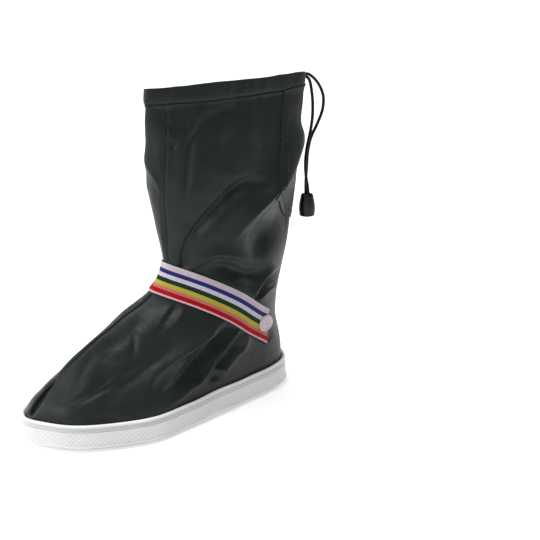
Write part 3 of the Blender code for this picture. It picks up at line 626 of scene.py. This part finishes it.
# The creases of the side that the camera sees, in millimetres: the height, the widths on the left and right
# of the line, the ends at which it dies away, and the line in the camera's plane, to its right and up from
# the origin. A height below zero is a trough.
SOFT_CREASES = [
    (-4.6, 8.5, 3.8, "first", [(24, 190), (2, 193), (-11, 186), (-25, 172), (-39, 158), (-51, 144),
        (-58, 130), (-61, 118), (-61, 104)]),
    (1.8, 7, 7, "both", [(-34, 180), (-50, 158), (-64, 136), (-71, 114)]),
    (-3.2, 5, 3.4, "both", [(-40, 254), (-47, 238), (-52, 227), (-55, 210), (-57, 190), (-63, 160)]),
    (-1.8, 6, 6, "both", [(-6, 262), (-25, 254), (-36, 248), (-45, 234)]),
    (1.2, 6, 6, "both", [(-50, 250), (-60, 222), (-65, 190)]),
    (-1.6, 8, 6, "both", [(-4, 244), (-16, 232), (-20, 218), (-16, 206), (-4, 202)]),
    (-1, 7, 7, "both", [(4, 238), (14, 229), (16, 216)]),
    (-1.2, 6, 5, "both", [(1, 190), (14, 187), (26, 192)]),
    (2, 4, 14, "last", [(50, 232), (38, 204), (26, 182), (8, 162), (-8, 144)]),
    (-6, 12, 10, "both", [(50, 190), (39, 168), (26, 148), (11, 134), (-2, 121)]),
    (-5.2, 3.2, 9, "both", [(-40, 110), (-22, 112), (-8, 107), (6, 105), (20, 109)]),
    (-4.6, 6, 3, "first", [(32, 110), (18, 95), (7, 79)]),
    (4.2, 4.5, 12, "last", [(-36, 49), (-61, 30), (-76, 19), (-87, 7), (-96, -16)]),
    (-5, 7, 4, "last", [(-6, 66), (-27, 48), (-38, 37), (-54, 18), (-66, 4), (-84, -18)]),
    (3, 3.4, 3.4, "both", [(-42, 7), (-56, -6), (-72, -20)]),
    (-3.4, 4.4, 4.4, "last", [(-2, 56), (-17, 34), (-28, 16), (-36, 0)]),
    (-1.8, 3.6, 3.6, "both", [(-41, 3), (-30, 6), (-20, 7)]),
    (-1.3, 3.6, 3.6, "both", [(-64, 80), (-72, 67), (-82, 55)]),
    (-2.8, 5.6, 5.6, "both", [(-130, -8), (-103, 10), (-84, 24), (-58, 42)]),
    (-1.4, 2.4, 2.4, "both", [(-168, -18), (-142, -3), (-120, 13)]),
    (-1.2, 2.4, 2.4, "both", [(-164, -21), (-142, -8), (-118, 5)]),
    (-1.8, 2.4, 2.4, "both", [(-106, 52), (-106, 40), (-107, 25)]),
    (-2.4, 7.5, 7.5, "both", [(-88, 79), (-104, 56), (-123, 40), (-142, 28)]),
    (-1, 4, 4, "both", [(-144, 36), (-132, 26), (-121, 24), (-108, 32)]),
    (-1, 5, 5, "both", [(-140, 38), (-153, 13), (-162, -10)]),
    (-4.8, 2.1, 2.1, "last", [(-208, -34), (-197, -18), (-190, -7), (-183, 3), (-174, 13)]),
    (-1, 2.6, 2.6, "both", [(-72, 247), (-70, 236)]),
    (-1, 2.6, 2.6, "both", [(-69, 231), (-68, 219)]),
    (-0.9, 2.6, 2.6, "both", [(-55, 248), (-57, 236)]),
    (-0.9, 3, 3, "both", [(-84, 232), (-88, 220), (-86, 206)]),
]
SHARP_CREASES = [
    (4.6, 2.2, 6, "last", [(50, 240), (42, 213), (33, 190), (21, 175), (7, 160), (-7, 143), (-12, 134),
        (-13, 124)]),
    (4.4, 7, 2.4, "last", [(-60, 103), (-52, 110), (-41, 117), (-28, 123), (-12, 121), (2, 118),
        (18, 118)]),
    (4.6, 2.2, 4.6, "first", [(34, 113), (21, 105), (12, 93), (5, 82)]),
    (3, 2.6, 2.6, "first", [(32, 97), (21, 89), (13, 80)]),
    (2.6, 2.8, 2.8, "both", [(-95, 226), (-92, 207), (-84, 191), (-78, 172)]),
    (4.6, 2.4, 5, "last", [(-10, 66), (-31, 50), (-47, 40), (-66, 27), (-80, 14)]),
    (5.8, 2.6, 2.6, "last", [(0, 62), (-20, 36), (-31, 25), (-40, 10), (-47, -1), (-54, -14)]),
    (3, 2.8, 2.8, "last", [(0, 54), (-3, 35), (-10, 28), (-19, 16), (-30, -3)]),
    (2, 2.4, 2.4, "both", [(-43, 9), (-30, 13), (-16, 13)]),
    (1.3, 2.6, 3.4, "both", [(-65, 84), (-62, 67), (-72, 54), (-88, 42)]),
    (1, 2.6, 3.4, "both", [(-68, 80), (-78, 65), (-90, 47)]),
]
STRAP_LINE = [
    (0.327, 1.147), (0.436, 1.098), (0.515, 1.029), (0.604, 0.933), (0.703, 0.794), (0.792, 0.637),
    (0.863, 0.5215),
]
strap_knots = [(TOE_Y + along * SOLE_LENGTH, up * INSTEP_HEIGHT) for along, up in STRAP_LINE]
strap_line = smooth_through(strap_knots, np.linspace(0, len(strap_knots) - 1, 80))
strap_ahead = np.gradient(strap_line, axis=0)
strap_ahead /= np.linalg.norm(strap_ahead, axis=1)[:, None]
strap_across = np.stack([-strap_ahead[:, 1], strap_ahead[:, 0]], axis=1)


def skin_rings(solid):
    """The corners of the boot's outer skin, ring by ring from the sole up, each from the front seam."""
    shell = bmesh.new()
    shell.from_mesh(solid.data)
    shell.transform(solid.matrix_world)
    bmesh.ops.remove_doubles(shell, verts=shell.verts, dist=MERGED)
    shell.normal_update()
    collar = [
        f for f in shell.faces if f.normal.z > COLLAR_UPWARD and f.calc_center_median().z > COLLAR_FROM
    ]
    bmesh.ops.delete(shell, geom=collar, context="FACES_ONLY")
    near = {v: [e.other_vert(v) for e in v.link_edges if e.link_faces] for v in shell.verts}
    rim = {
        v for v in shell.verts if v.co.z > COLLAR_FROM and any(len(e.link_faces) == 1 for e in v.link_edges)
    }

    def walk(members, start, following):
        ring = [start, following]
        while len(ring) <= len(members):
            ahead = [v for v in near[ring[-1]] if v in members and v is not ring[-2]]
            if ring[0] in ahead and len(ring) > 2 or not ahead:
                break
            ring.append(ahead[0])
        return ring

    widest = max(rim, key=lambda v: v.co.x)
    ring = walk(rim, widest, next(v for v in near[widest] if v in rim))
    apart = [
        (ring[k].co - ring[k - 1].co).length + (ring[k].co - ring[(k + 1) % len(ring)].co).length
        for k in range(len(ring))
    ]
    foremost = min(v.co.y for v in ring) + 0.02
    front = min((k for k in range(len(ring)) if ring[k].co.y < foremost), key=lambda k: apart[k])
    ring = ring[front:] + ring[:front]
    if ring[len(ring) // 4].co.x < ring[-len(ring) // 4].co.x:
        ring = ring[:1] + ring[:0:-1]
    rings, done = [ring], set(ring)
    while np.mean([v.co.z for v in rings[-1]]) > SOLE_HEIGHT + 0.004:
        members = {v for corner in rings[-1] for v in near[corner]} - done
        found = [
            walk(members, start, following)
            for start in near[rings[-1][0]] if start in members
            for following in near[start] if following in members
        ]
        found = [
            way for way in found
            if len(way) == len(ring) and all(b in near[a] for a, b in zip(rings[-1], way))
        ]
        rings.append(min(found, key=lambda way: sum((a.co - b.co).length for a, b in zip(way, rings[-1]))))
        done |= members
    corners = np.array([[tuple(v.co) for v in ring] for ring in rings[::-1]])
    shell.free()
    under = corners[0].copy()
    under[:, 2] = CLOTH_FOOT + lift(under[:, 1])
    return np.concatenate([under[None], corners])


def away_from(points, line):
    """Distance of points from a bent line, above zero on its left, and the share where it is met."""
    line = np.asarray(line, float)
    best = np.full(len(points), 1e9)
    share = np.zeros(len(points))
    steps = np.linalg.norm(np.diff(line, axis=0), axis=1)
    done = np.concatenate([[0], np.cumsum(steps)]) / steps.sum()
    for k in range(len(line) - 1):
        run_k = line[k + 1] - line[k]
        t = np.clip(((points - line[k]) @ run_k) / (run_k @ run_k), 0, 1)
        away = points - (line[k] + t[:, None] * run_k)
        gap_k = np.linalg.norm(away, axis=1)
        nearer = gap_k < np.abs(best)
        side = np.where(run_k[0] * away[:, 1] - run_k[1] * away[:, 0] >= 0, 1.0, -1.0)
        best = np.where(nearer, gap_k * side, best)
        share = np.where(nearer, done[k] + t * (done[k + 1] - done[k]), share)
    return best, share


def creased(points, offset=(0.0, 0.0)):
    """How far the creases lift points of the camera's plane."""
    shift = np.zeros(len(points))
    for creases, power in ((SOFT_CREASES, 2.0), (SHARP_CREASES, 1.25)):
        for crease_height, left, right, dying, line in creases:
            knots = np.asarray(line) / MM + offset
            smooth_line = smooth_through(knots, np.linspace(0, len(knots) - 1, 4 * len(knots)))
            gap, share = away_from(points, smooth_line)
            fade = np.ones(len(points))
            if dying != "last":
                fade *= soften(share / CREASE_ENDS)
            if dying != "first":
                fade *= soften((1 - share) / CREASE_ENDS)
            width = np.where(gap > 0, left, right) / MM
            shift += crease_height / MM * np.exp(-(np.abs(gap / width) ** power)) * (0.06 + 0.94 * fade)
    return shift


def grid_normals(grid):
    """Outward unit normals of a closed grid of rings."""
    around = np.roll(grid, -1, axis=1) - np.roll(grid, 1, axis=1)
    normal = np.cross(around, np.gradient(grid, axis=0))
    return normal / np.linalg.norm(normal, axis=-1)[..., None]


def flat_lay(across, along):
    """Texture coordinates of a sheet, from the runs of its columns and of its rows."""
    return np.stack(np.broadcast_arrays(across[None, :], along[:, None]), axis=-1)


corners = skin_rings(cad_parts["upper"])
steps = np.linalg.norm(np.diff(corners, axis=0), axis=-1).mean(axis=1)
climb = np.concatenate([[0.0], np.cumsum(steps)])
hem_climb = climb[-3] + HEM_OFF_RING
even_climb = np.linspace(climb[1] - 0.002, climb[-1], CLOTH_ROWS)
close_climb = hem_climb + np.array([-0.0016, -0.0010, -0.0005, 0.0, 0.0005, 0.0010, 0.0016])
row_climb = np.unique(np.concatenate([[climb[0]], even_climb, close_climb]))
row_climb = row_climb[np.concatenate([[True], np.diff(row_climb) > ROWS_APART])]
row_at = np.interp(row_climb, climb, np.arange(len(climb)))
dense = smooth_through(corners.reshape(len(corners), -1), row_at).reshape(len(row_at), -1, 3)
cloth_shares = round_shares(CLOTH_COLUMNS, 0.45)
outer, row_girth = [], []
half = CLOTH_COLUMNS // 2
for ring in dense:
    loop = closed_curve(ring, 12)
    loop = np.vstack([loop, loop[:1]])
    run = run_along(loop)
    back_seam = run[12 * (len(ring) // 2)]
    at = np.where(np.arange(CLOTH_COLUMNS) < half, 2 * cloth_shares * back_seam,
                  back_seam + (2 * cloth_shares - 1) * (run[-1] - back_seam))
    outer.append(read_at(loop, run, at))
    row_girth.append(run[-1])
outer, row_girth = np.array(outer), np.array(row_girth)
normals = grid_normals(outer)

camera_axes = np.array(camera.rotation_euler.to_matrix())
flat, facing_out = outer.reshape(-1, 3), normals.reshape(-1, 3)
seen = flat @ camera_axes[:, :2]
toward = facing_out @ camera_axes[:, 2]
near_side = soften((toward + 0.05) / 0.35)
mirrored = flat * [-1, 1, 1]
toward_mirrored = (facing_out * [-1, 1, 1]) @ camera_axes[:, 2]
far_side = soften(toward_mirrored / 0.5) * (1 - near_side)
seen_mirrored = mirrored @ camera_axes[:, :2]
shift = near_side * creased(seen) + FAR_SIDE_SHARE * far_side * creased(seen_mirrored, FAR_SIDE_SHIFT)

# Slack ripples between the creases, and gathers in the hem.
rng = np.random.default_rng(11)
for wavelength, size in RIPPLES:
    for _ in range(RIPPLES_OF_EACH):
        direction = rng.normal(size=3) * [1.0, 1.0, 0.6]
        direction /= np.linalg.norm(direction)
        shift += size / 2.0 * np.sin(2 * math.pi * (flat @ direction) / wavelength + rng.uniform(0, 6.28))
run_round = (cloth_shares[None, :] * row_girth[:, None]).reshape(-1)
from_hem = np.repeat(row_climb, CLOTH_COLUMNS) - hem_climb
in_casing = soften((from_hem + 0.001) / 0.003) * soften((climb[-1] - hem_climb - from_hem) / 0.004)
gather = sum(size * np.sin(run_round / length + start) for size, length, start in GATHERS)
under_hem = soften(1 + from_hem / GATHER_FADE) * (from_hem < 0)
shift += (GATHER_DEPTH * in_casing + GATHER_DEPTH * under_hem) * gather
shift -= HEM_GROOVE * np.exp(-((from_hem / HEM_GROOVE_WIDTH) ** 2))

# Where the strap or the sole holds the cloth it can't stand out.
strap_gap, _ = away_from(flat[:, 1:3], strap_line)
held = soften((np.abs(strap_gap) - 0.5 * STRAP_WIDTH + STRAP_BITE) / STRAP_EASE)
held = np.where(flat[:, 1] > strap_line[-1, 0] + BEHIND_STRAP, 1.0, held)
shift = np.where(shift > 0, shift * held, shift * (TROUGH_UNDER_STRAP + (1 - TROUGH_UNDER_STRAP) * held))
above_lip = flat[:, 2] - SOLE_HEIGHT - lift(flat[:, 1])
shift *= soften((above_lip + 0.0005) / LIP_EASE)

# The front seam's stitching pulls a narrow groove along its outer side.
from_seam = np.where(cloth_shares > 0.5, cloth_shares - 1, cloth_shares)[None, :] * row_girth[:, None]
beside_seam = from_seam.reshape(-1) - SEAM_GROOVE_OFF
groove = SEAM_GROOVE * np.exp(-((beside_seam / SEAM_GROOVE_WIDTH) ** 2))
groove = groove * held * soften(above_lip / SEAM_EASE)
shift -= groove * soften((hem_climb - 0.003 - np.repeat(row_climb, CLOTH_COLUMNS)) / SEAM_EASE)
on_seam = np.exp(-(((beside_seam + SEAM_GROOVE_OFF) / SEAM_SINK_WIDTH) ** 2))
shift -= SEAM_SINK * on_seam * soften((flat[:, 2] - SEAM_SINK_FROM) / 0.02)
outer = outer + normals * shift.reshape(outer.shape[:2])[..., None]
normals = grid_normals(outer)
outer_faces = [
    (r * CLOTH_COLUMNS + c, r * CLOTH_COLUMNS + (c + 1) % CLOTH_COLUMNS,
     (r + 1) * CLOTH_COLUMNS + (c + 1) % CLOTH_COLUMNS, (r + 1) * CLOTH_COLUMNS + c)
    for r in range(len(outer) - 1) for c in range(CLOTH_COLUMNS)
]
cloth_tree = BVHTree.FromPolygons([Vector(p) for p in outer.reshape(-1, 3)], outer_faces)

top, out = outer[-1], normals[-1]
roll = [
    top - out * 0.5 * CLOTH * (1 - math.cos(turn)) + np.array([0, 0, 0.5 * CLOTH * math.sin(turn)])
    for turn in (0.25 * math.pi, 0.5 * math.pi, 0.75 * math.pi, math.pi)
]
inside_rows = [r for r in range(len(outer) - 3, 0, -1) if r % 4 == 0] + [0]
hem_inside = soften((row_climb - hem_climb + 0.002) / 0.002)
inside = [outer[r] - normals[r] * (CLOTH + 0.0007 * hem_inside[r]) for r in inside_rows]
whole = np.concatenate([outer, np.array(roll), np.array(inside)])
whole = np.concatenate([whole, whole[:, :1]], axis=1)
rise = np.concatenate(
    [row_climb, climb[-1] + 0.0006 * np.arange(1, 5), 2 * climb[-1] - row_climb[inside_rows]]
)
laid = flat_lay(np.append(cloth_shares, 1.0) * row_girth.mean(), rise)
skin = sheet("boot_cloth", whole, laid, closed=True)
lined = len(outer) + 4 + int(np.sum(row_climb[inside_rows] > hem_climb - 0.002))
made_of = np.repeat((np.arange(len(whole) - 1) >= lined).astype(int), CLOTH_COLUMNS)
skin.data.polygons.foreach_set("material_index", made_of)
skin.select_set(False)

nylon, nylon_shader, node, link = shader_of("coated_nylon", (0.0135, 0.0175, 0.0169), 0.42, (
    ("Sheen Weight", 0.03), ("Sheen Roughness", 0.40), ("Specular IOR Level", 0.20)
))
cloud = pattern("ShaderNodeTexNoise", Scale=22.0, Detail=5.0, Roughness=0.55)
link(tint(cloud, (0.0100, 0.0134, 0.0128), (0.0170, 0.0216, 0.0210)), nylon_shader.inputs["Base Color"])
link(ranged(cloud, 0.0, 1.0, 0.36, 0.52), nylon_shader.inputs["Roughness"])
lay = node("ShaderNodeUVMap", uv_map="lay").outputs["UV"]
warp, weft = (
    pattern(
        "ShaderNodeTexWave", where=lay, wave_type="BANDS", bands_direction=axis, Scale=420.0, Distortion=0.5
    )
    for axis in ("X", "Y")
)
weave_bump = bumped(sums(warp, weft, "ADD"), 0.06, 0.0002)
crumple = pattern("ShaderNodeTexNoise", Scale=62.0, Detail=4.0, Roughness=0.5, Distortion=0.8)
link(bumped(crumple, 0.50, 0.0016, under=weave_bump), nylon_shader.inputs["Normal"])
skin.data.materials.append(nylon)
lining, lining_shader, node, link = shader_of("boot_lining", (0.012, 0.014, 0.014), 0.75)
mesh_cells = pattern("ShaderNodeTexVoronoi", output="Distance", Scale=700.0)
link(bumped(mesh_cells, 0.3, 0.0003), lining_shader.inputs["Normal"])
skin.data.materials.append(lining)
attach(skin, "root")
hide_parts("upper")


# Instep strap
# A woven elastic ribbon with stripes along it, 30 mm wide, that holds the slack cloth down over the instep.

STRAP_THICKNESS = 0.0013
STRAP_END_SLANT = 0.0085
STRAP_OFF = 0.0005
ROWS, COLUMNS = 13, 190
BESIDE = 0.08
RIB_PITCH = 0.0011
YARNS = 26
# A spot inside the boot, under the instep, that the strap goes round, and how far from it the cloth can be.
INSIDE = np.array([0.0, -0.045])
REACHES = np.linspace(0.004, 0.12, 60)


def strap_edge(share):
    """The strap's line at a share of its width, from -0.5 at its lower edge to +0.5 at its upper one."""
    line = strap_line + strap_across * share * STRAP_WIDTH
    line = np.vstack([line, line[-1] + strap_ahead[-1] * 0.012])
    run = run_along(line)
    stop = run[-2] - 2 * share * STRAP_END_SLANT
    return read_at(line, run, np.linspace(0, stop, 90))


def from_side(tree, side, y, z):
    """Where a level line from beside the boot meets a surface, and the surface's direction there."""
    return tree.ray_cast(Vector((side * BESIDE, y, z)), Vector((-side, 0, 0)))[:2]


def cross(a, b):
    """The cross products of rows of flat directions."""
    return a[:, 0] * b[:, 1] - a[:, 1] * b[:, 0]


def taut(path):
    """A path round a fixed middle, pulled straight over its hollows as a taut band is."""
    ring = [tuple(p) for p in path]
    hull = []
    for point in ring:
        while len(hull) > 1:
            (ax, ay), (bx, by) = hull[-2], hull[-1]
            if (bx - ax) * (point[1] - ay) - (by - ay) * (point[0] - ax) < 0:
                break
            hull.pop()
        hull.append(point)
    hull = np.array(hull)
    turn_hull = np.unwrap(np.arctan2(hull[:, 1] - INSIDE[1], hull[:, 0] - INSIDE[0]))
    turn_path = np.unwrap(np.arctan2(path[:, 1] - INSIDE[1], path[:, 0] - INSIDE[0]))
    span = np.clip(np.searchsorted(-turn_hull, -turn_path, side="right") - 1, 0, len(hull) - 2)
    a, run = hull[span], hull[span + 1] - hull[span]
    way = np.column_stack([np.cos(turn_path), np.sin(turn_path)])
    reach = cross(a - INSIDE, run) / cross(way, run)
    return INSIDE + way * reach[:, None]


def strap_row(share):
    """A line of the strap's inner face, from the outer stud over the instep to the inner one."""
    line = strap_edge(share)
    end_y, end_z = line[-1]
    ends = []
    for side in (1, -1):
        hit = from_side(cloth_tree, side, end_y, end_z)[0]
        ends.append(math.atan2(hit.y - INSIDE[1], hit.x - INSIDE[0]))
    path = []
    for turn in np.linspace(ends[0], ends[1] - 2 * math.pi if ends[1] > ends[0] else ends[1], COLUMNS):
        way = np.array([math.cos(turn), math.sin(turn)])
        before = None
        for reach in REACHES:
            spot = Vector((*(INSIDE + way * reach), 0))
            spot.z = float(np.interp(spot.y, line[:, 0], line[:, 1]))
            if before is not None:
                hit = cloth_tree.ray_cast(before, (spot - before).normalized(), (spot - before).length)[0]
                if hit is not None:
                    path.append((hit.x, hit.y))
                    break
            before = spot
    path = taut(np.array(path))
    across = np.gradient(path, axis=0)
    across = np.stack([-across[:, 1], across[:, 0]], axis=1)
    across /= np.linalg.norm(across, axis=1)[:, None]
    path = path - across * np.sign(np.sum(across * (INSIDE - path), axis=1))[:, None] * STRAP_OFF
    return np.column_stack([path, np.interp(path[:, 1], line[:, 0], line[:, 1])])


def thicken(made, thickness, edge_width, segments):
    """Gives a sheet its thickness and rounds its edges."""
    thick = made.modifiers.new("thickness", "SOLIDIFY")
    thick.thickness = thickness
    thick.offset = 1.0
    bpy.ops.object.modifier_apply(modifier="thickness")
    rounded = made.modifiers.new("round_edges", "BEVEL")
    rounded.width = edge_width
    rounded.segments = segments
    rounded.limit_method = "ANGLE"
    rounded.angle_limit = math.radians(50)
    bpy.ops.object.modifier_apply(modifier="round_edges")
    bpy.ops.object.shade_smooth_by_angle(angle=math.radians(60))
    made.select_set(False)


def tree_of(made):
    """A piece's faces, to find where a line meets them or which spot is nearest."""
    return BVHTree.FromPolygons(
        [v.co for v in made.data.vertices], [tuple(p.vertices) for p in made.data.polygons]
    )


grid = np.array([strap_row(float(s)) for s in np.linspace(-0.5, 0.5, ROWS)])
for _ in range(3):
    grid[:, 1:-1] = 0.5 * grid[:, 1:-1] + 0.25 * (grid[:, :-2] + grid[:, 2:])
laid = flat_lay(run_along(grid[ROWS // 2]), np.linspace(0, 1, ROWS))
strap = sheet("striped_strap", grid, laid)
sideways = [p.normal.x * np.sign(p.center.x) for p in strap.data.polygons if abs(p.center.x) > 0.02]
if np.mean(sideways) < 0:
    strap.data.flip_normals()
thicken(strap, STRAP_THICKNESS, 0.00045, 2)

elastic, elastic_shader, node, link = shader_of("striped_elastic", (0.8, 0.75, 0.8), 0.78, (
    ("Specular IOR Level", 0.15),
))
along_strap, across_strap = lay_axes()
stripes = node("ShaderNodeValToRGB")
stripes.color_ramp.interpolation = "CONSTANT"
# From the lower edge up: pale edge, red, salmon, orange yellow, yellow, green, white, lavender, blue,
# lavender, pale pink and a whiter edge.
STRIPES = [
    (0.000, (0.60, 0.40, 0.42)), (0.050, (0.34, 0.002, 0.008)), (0.180, (0.52, 0.13, 0.14)),
    (0.262, (0.46, 0.26, 0.07)), (0.305, (0.44, 0.38, 0.045)), (0.420, (0.010, 0.028, 0.010)),
    (0.555, (0.54, 0.55, 0.57)), (0.620, (0.56, 0.52, 0.64)), (0.690, (0.016, 0.022, 0.130)),
    (0.820, (0.52, 0.44, 0.60)), (0.855, (0.56, 0.45, 0.52)), (0.955, (0.60, 0.55, 0.58)),
]
ramp = stripes.color_ramp
for index, (position, colour) in enumerate(STRIPES):
    stripe = ramp.elements[index] if index < 2 else ramp.elements.new(position)
    stripe.position, stripe.color = position, (*colour, 1.0)
link(across_strap, stripes.inputs["Fac"])
ribs = waves(along_strap, 2 * math.pi / RIB_PITCH)
knit = sums(sums(ribs, 0.5, "MULTIPLY"), waves(across_strap, 2 * math.pi * YARNS), "ADD")
# Painted shade: the stripes' colour is darkened in the hollows between the ribs and the yarns, where the
# knit's bump is low.
shade = tint(ranged(knit, -1.5, 1.5, 0.20, 1.0), (0.70, 0.68, 0.70), (1.0, 1.0, 1.0))
link(tint(1.0, stripes.outputs["Color"], shade, "MULTIPLY"), elastic_shader.inputs["Base Color"])
link(bumped(knit, 0.5, 0.00025), elastic_shader.inputs["Normal"])
strap.data.materials.append(elastic)
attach(strap, "root")
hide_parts("instep_strap")


# Press studs
# Pale, slightly milky plastic caps, 16.5 mm across, that clamp the strap's ends to the cloth: a rounded rim
# round a shallow dish with a small dimple.

STUD_WIDTH = 0.0165
STUD_TILT = (0.0, -0.28, 0.06)
PROBE = 0.006
STUD_X = 0.037
NEAR_STUD = 0.012
SUNK = 0.6
CAP = [
    (0.4, 0), (0.47, 0.0003), (0.497, 0.0008), (0.5, 0.0014), (0.487, 0.0021), (0.455, 0.0026),
    (0.42, 0.0028), (0.39, 0.0026), (0.365, 0.0022), (0.34, 0.002), (0.2, 0.0022), (0.08, 0.0023),
    (0.072, 0.0019), (0.01, 0.0018),
]
stud_plastic, stud_shader, node, link = shader_of("stud_plastic", (0.50, 0.43, 0.46), 0.30, (
    ("Subsurface Weight", 0.3), ("Subsurface Radius", (0.002, 0.002, 0.002))
))
haze = pattern("ShaderNodeTexNoise", Scale=300.0, Detail=3.0)
link(ranged(haze, 0.0, 1.0, 0.24, 0.40), stud_shader.inputs["Roughness"])
link(tint(haze, (0.46, 0.40, 0.43), (0.56, 0.49, 0.52)), stud_shader.inputs["Base Color"])
strap_tree = tree_of(strap)
probes = [(0, 0)] + [
    (PROBE * math.cos(k * math.pi / 6), PROBE * math.sin(k * math.pi / 6)) for k in range(12)
]
for name, side, replaced in (("stud_cap_outer", 1, "stud_outer"), ("stud_cap_inner", -1, "stud_inner")):
    low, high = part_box(replaced)
    y, z = 0.5 * (low[1] + high[1]), 0.5 * (low[2] + high[2])
    spots, lean = [], Vector((0, 0, 0))
    for dy, dz in probes:
        hit, out = from_side(strap_tree, side, y + dy, z + dz)
        if hit is not None and (hit - Vector((side * STUD_X, y, z))).length < NEAR_STUD:
            spots.append(hit)
            lean += out
    lean = (lean.normalized() + Vector(STUD_TILT) * (side > 0)).normalized()
    seat = sum(spots, Vector()) / len(spots)
    proud = max((hit - seat).dot(lean) for hit in spots)
    cap = turn_up(name, [(r, h / STUD_WIDTH) for r, h in CAP], STUD_WIDTH, STUD_WIDTH, 40)
    seat = Vector((seat.x, y, z)) + lean * (SUNK * proud)
    settle(cap, Matrix.Translation(seat) @ lean.to_track_quat("Z", "Y").to_matrix().to_4x4())
    cap.data.materials.append(stud_plastic)
    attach(cap, "root")
    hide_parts(replaced)


# Storm flap
# Doubled nylon that folds round the back edge and closes over the boot's opening with hook and loop under
# it. A row of stitches runs inside its free edges.

FLAP_THICKNESS = 0.0009
FLAP_OFF = 0.0003
FLAP_ROWS, FLAP_COLUMNS = 76, 64
FLAP_HEIGHT = 0.134
FLAP_RISE = 0.034
FLAP_REACH = 0.020
FLAP_SLANT = 0.021
FLAP_SKEW = 0.30
BACK_OVERHANG = 0.096
COLLAR_LENGTH = 0.174
back_y = HEEL_CENTRE + BACK_OVERHANG * COLLAR_LENGTH
flap_top = COLLAR_HEIGHT - CASING_DEPTH - 0.45 * FLAP_REACH
points = np.zeros((FLAP_ROWS, FLAP_COLUMNS, 3))
for r, down in enumerate(np.linspace(0, 1, FLAP_ROWS)):
    middle = Vector((0.006 - 0.004 * down, -0.004, 0))
    near_z = flap_top - down * (FLAP_HEIGHT - FLAP_RISE)
    far_z = flap_top - down * FLAP_HEIGHT
    ends = []
    for side, z in ((1, near_z), (-1, far_z)):
        x = 0.02 * side
        for _ in range(4):
            y = back_y - FLAP_REACH - FLAP_SLANT * down - FLAP_SKEW * x
            hit = from_side(cloth_tree, side, y, z)[0]
            x = hit.x
        ends.append(math.atan2(hit.y - middle.y, hit.x - middle.x))
    stop = ends[1] + 2 * math.pi if ends[1] < ends[0] else ends[1]
    for c, share in enumerate(np.linspace(0, 1, FLAP_COLUMNS)):
        turn = ends[0] + (stop - ends[0]) * share
        z = near_z + (far_z - near_z) * float(soften(share * 1.7))
        way = Vector((math.cos(turn), math.sin(turn), 0))
        hit, out, _, _ = cloth_tree.ray_cast(Vector((middle.x, middle.y, z)), way)
        points[r, c] = hit + out * FLAP_OFF
for _ in range(2):
    points[1:-1, 1:-1] = 0.5 * points[1:-1, 1:-1] + 0.125 * (
        points[:-2, 1:-1] + points[2:, 1:-1] + points[1:-1, :-2] + points[1:-1, 2:]
    )
laid = flat_lay(run_along(points[FLAP_ROWS // 2]), run_along(points[:, 5]))
flap = sheet("storm_flap", points, laid)
if np.mean([p.normal.y for p in flap.data.polygons if p.center.y > 0.045]) < 0:
    flap.data.flip_normals()
thicken(flap, FLAP_THICKNESS, 0.0004, 3)
flap.data.materials.append(nylon)
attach(flap, "root")
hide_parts("back_flap")


# Stitches
# Black thread: one row through the turned hem all round the collar, and one inside the flap's near edge and
# foot.

STITCH = 0.0033
STITCH_WIDTH = 0.0011
STITCH_PITCH = 0.0044
STITCH_OFF = 0.0001
THREAD_END = 0.002
stitch_black, stitch_shader, node, link = shader_of("black_thread", (0.004, 0.004, 0.005), 0.55)
twist = pattern("ShaderNodeTexWave", wave_type="BANDS", bands_direction="DIAGONAL", Scale=500.0)
link(bumped(twist, 0.4, 0.0001), stitch_shader.inputs["Normal"])

hem_row = int(np.argmin(np.abs(row_climb - hem_climb)))
hem_loop = closed_curve(outer[hem_row] + normals[hem_row] * 0.0002, 2)
flap_tree = tree_of(flap)
flap_edge = [*points[: FLAP_ROWS - 3, 3], *points[-4, 4 : FLAP_COLUMNS - 3]]
outside = [Vector(p) + Vector((0.004 * np.sign(p[0]), 0.004, 0)) for p in flap_edge]
flap_loop = np.array([tuple(flap_tree.find_nearest(p)[0]) for p in outside])
bpy.ops.mesh.primitive_uv_sphere_add(segments=8, ring_count=5, radius=0.5)
stitch = bpy.context.object
edit_all()
bpy.ops.transform.resize(value=(STITCH, STITCH_WIDTH, STITCH_WIDTH), center_override=(0, 0, 0))
bpy.ops.object.mode_set(mode="OBJECT")
stitch.data.shade_smooth()
stitch.data.materials.append(stitch_black)
stitch.select_set(False)
rows_of_thread = []
for line, tree in ((hem_loop, cloth_tree), (flap_loop, flap_tree)):
    run = run_along(line)
    for at in np.arange(THREAD_END, run[-1] - THREAD_END, STITCH_PITCH):
        here, there = (Vector(p) for p in read_at(line, run, np.array([at, at + 0.001])))
        spot, out, _, _ = tree.find_nearest(here)
        way = (there - here).normalized()
        out = (out - way * out.dot(way)).normalized()
        turned = Matrix((way, out.cross(way), out)).transposed().to_4x4()
        copy = stitch.copy()
        copy.data = stitch.data.copy()
        copy.data.transform(Matrix.Translation(spot + out * STITCH_OFF) @ turned)
        scene.collection.objects.link(copy)
        rows_of_thread.append(copy)
bpy.data.objects.remove(stitch)
thread = join_as("thread_rows", rows_of_thread)
thread.select_set(False)
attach(thread, "root")
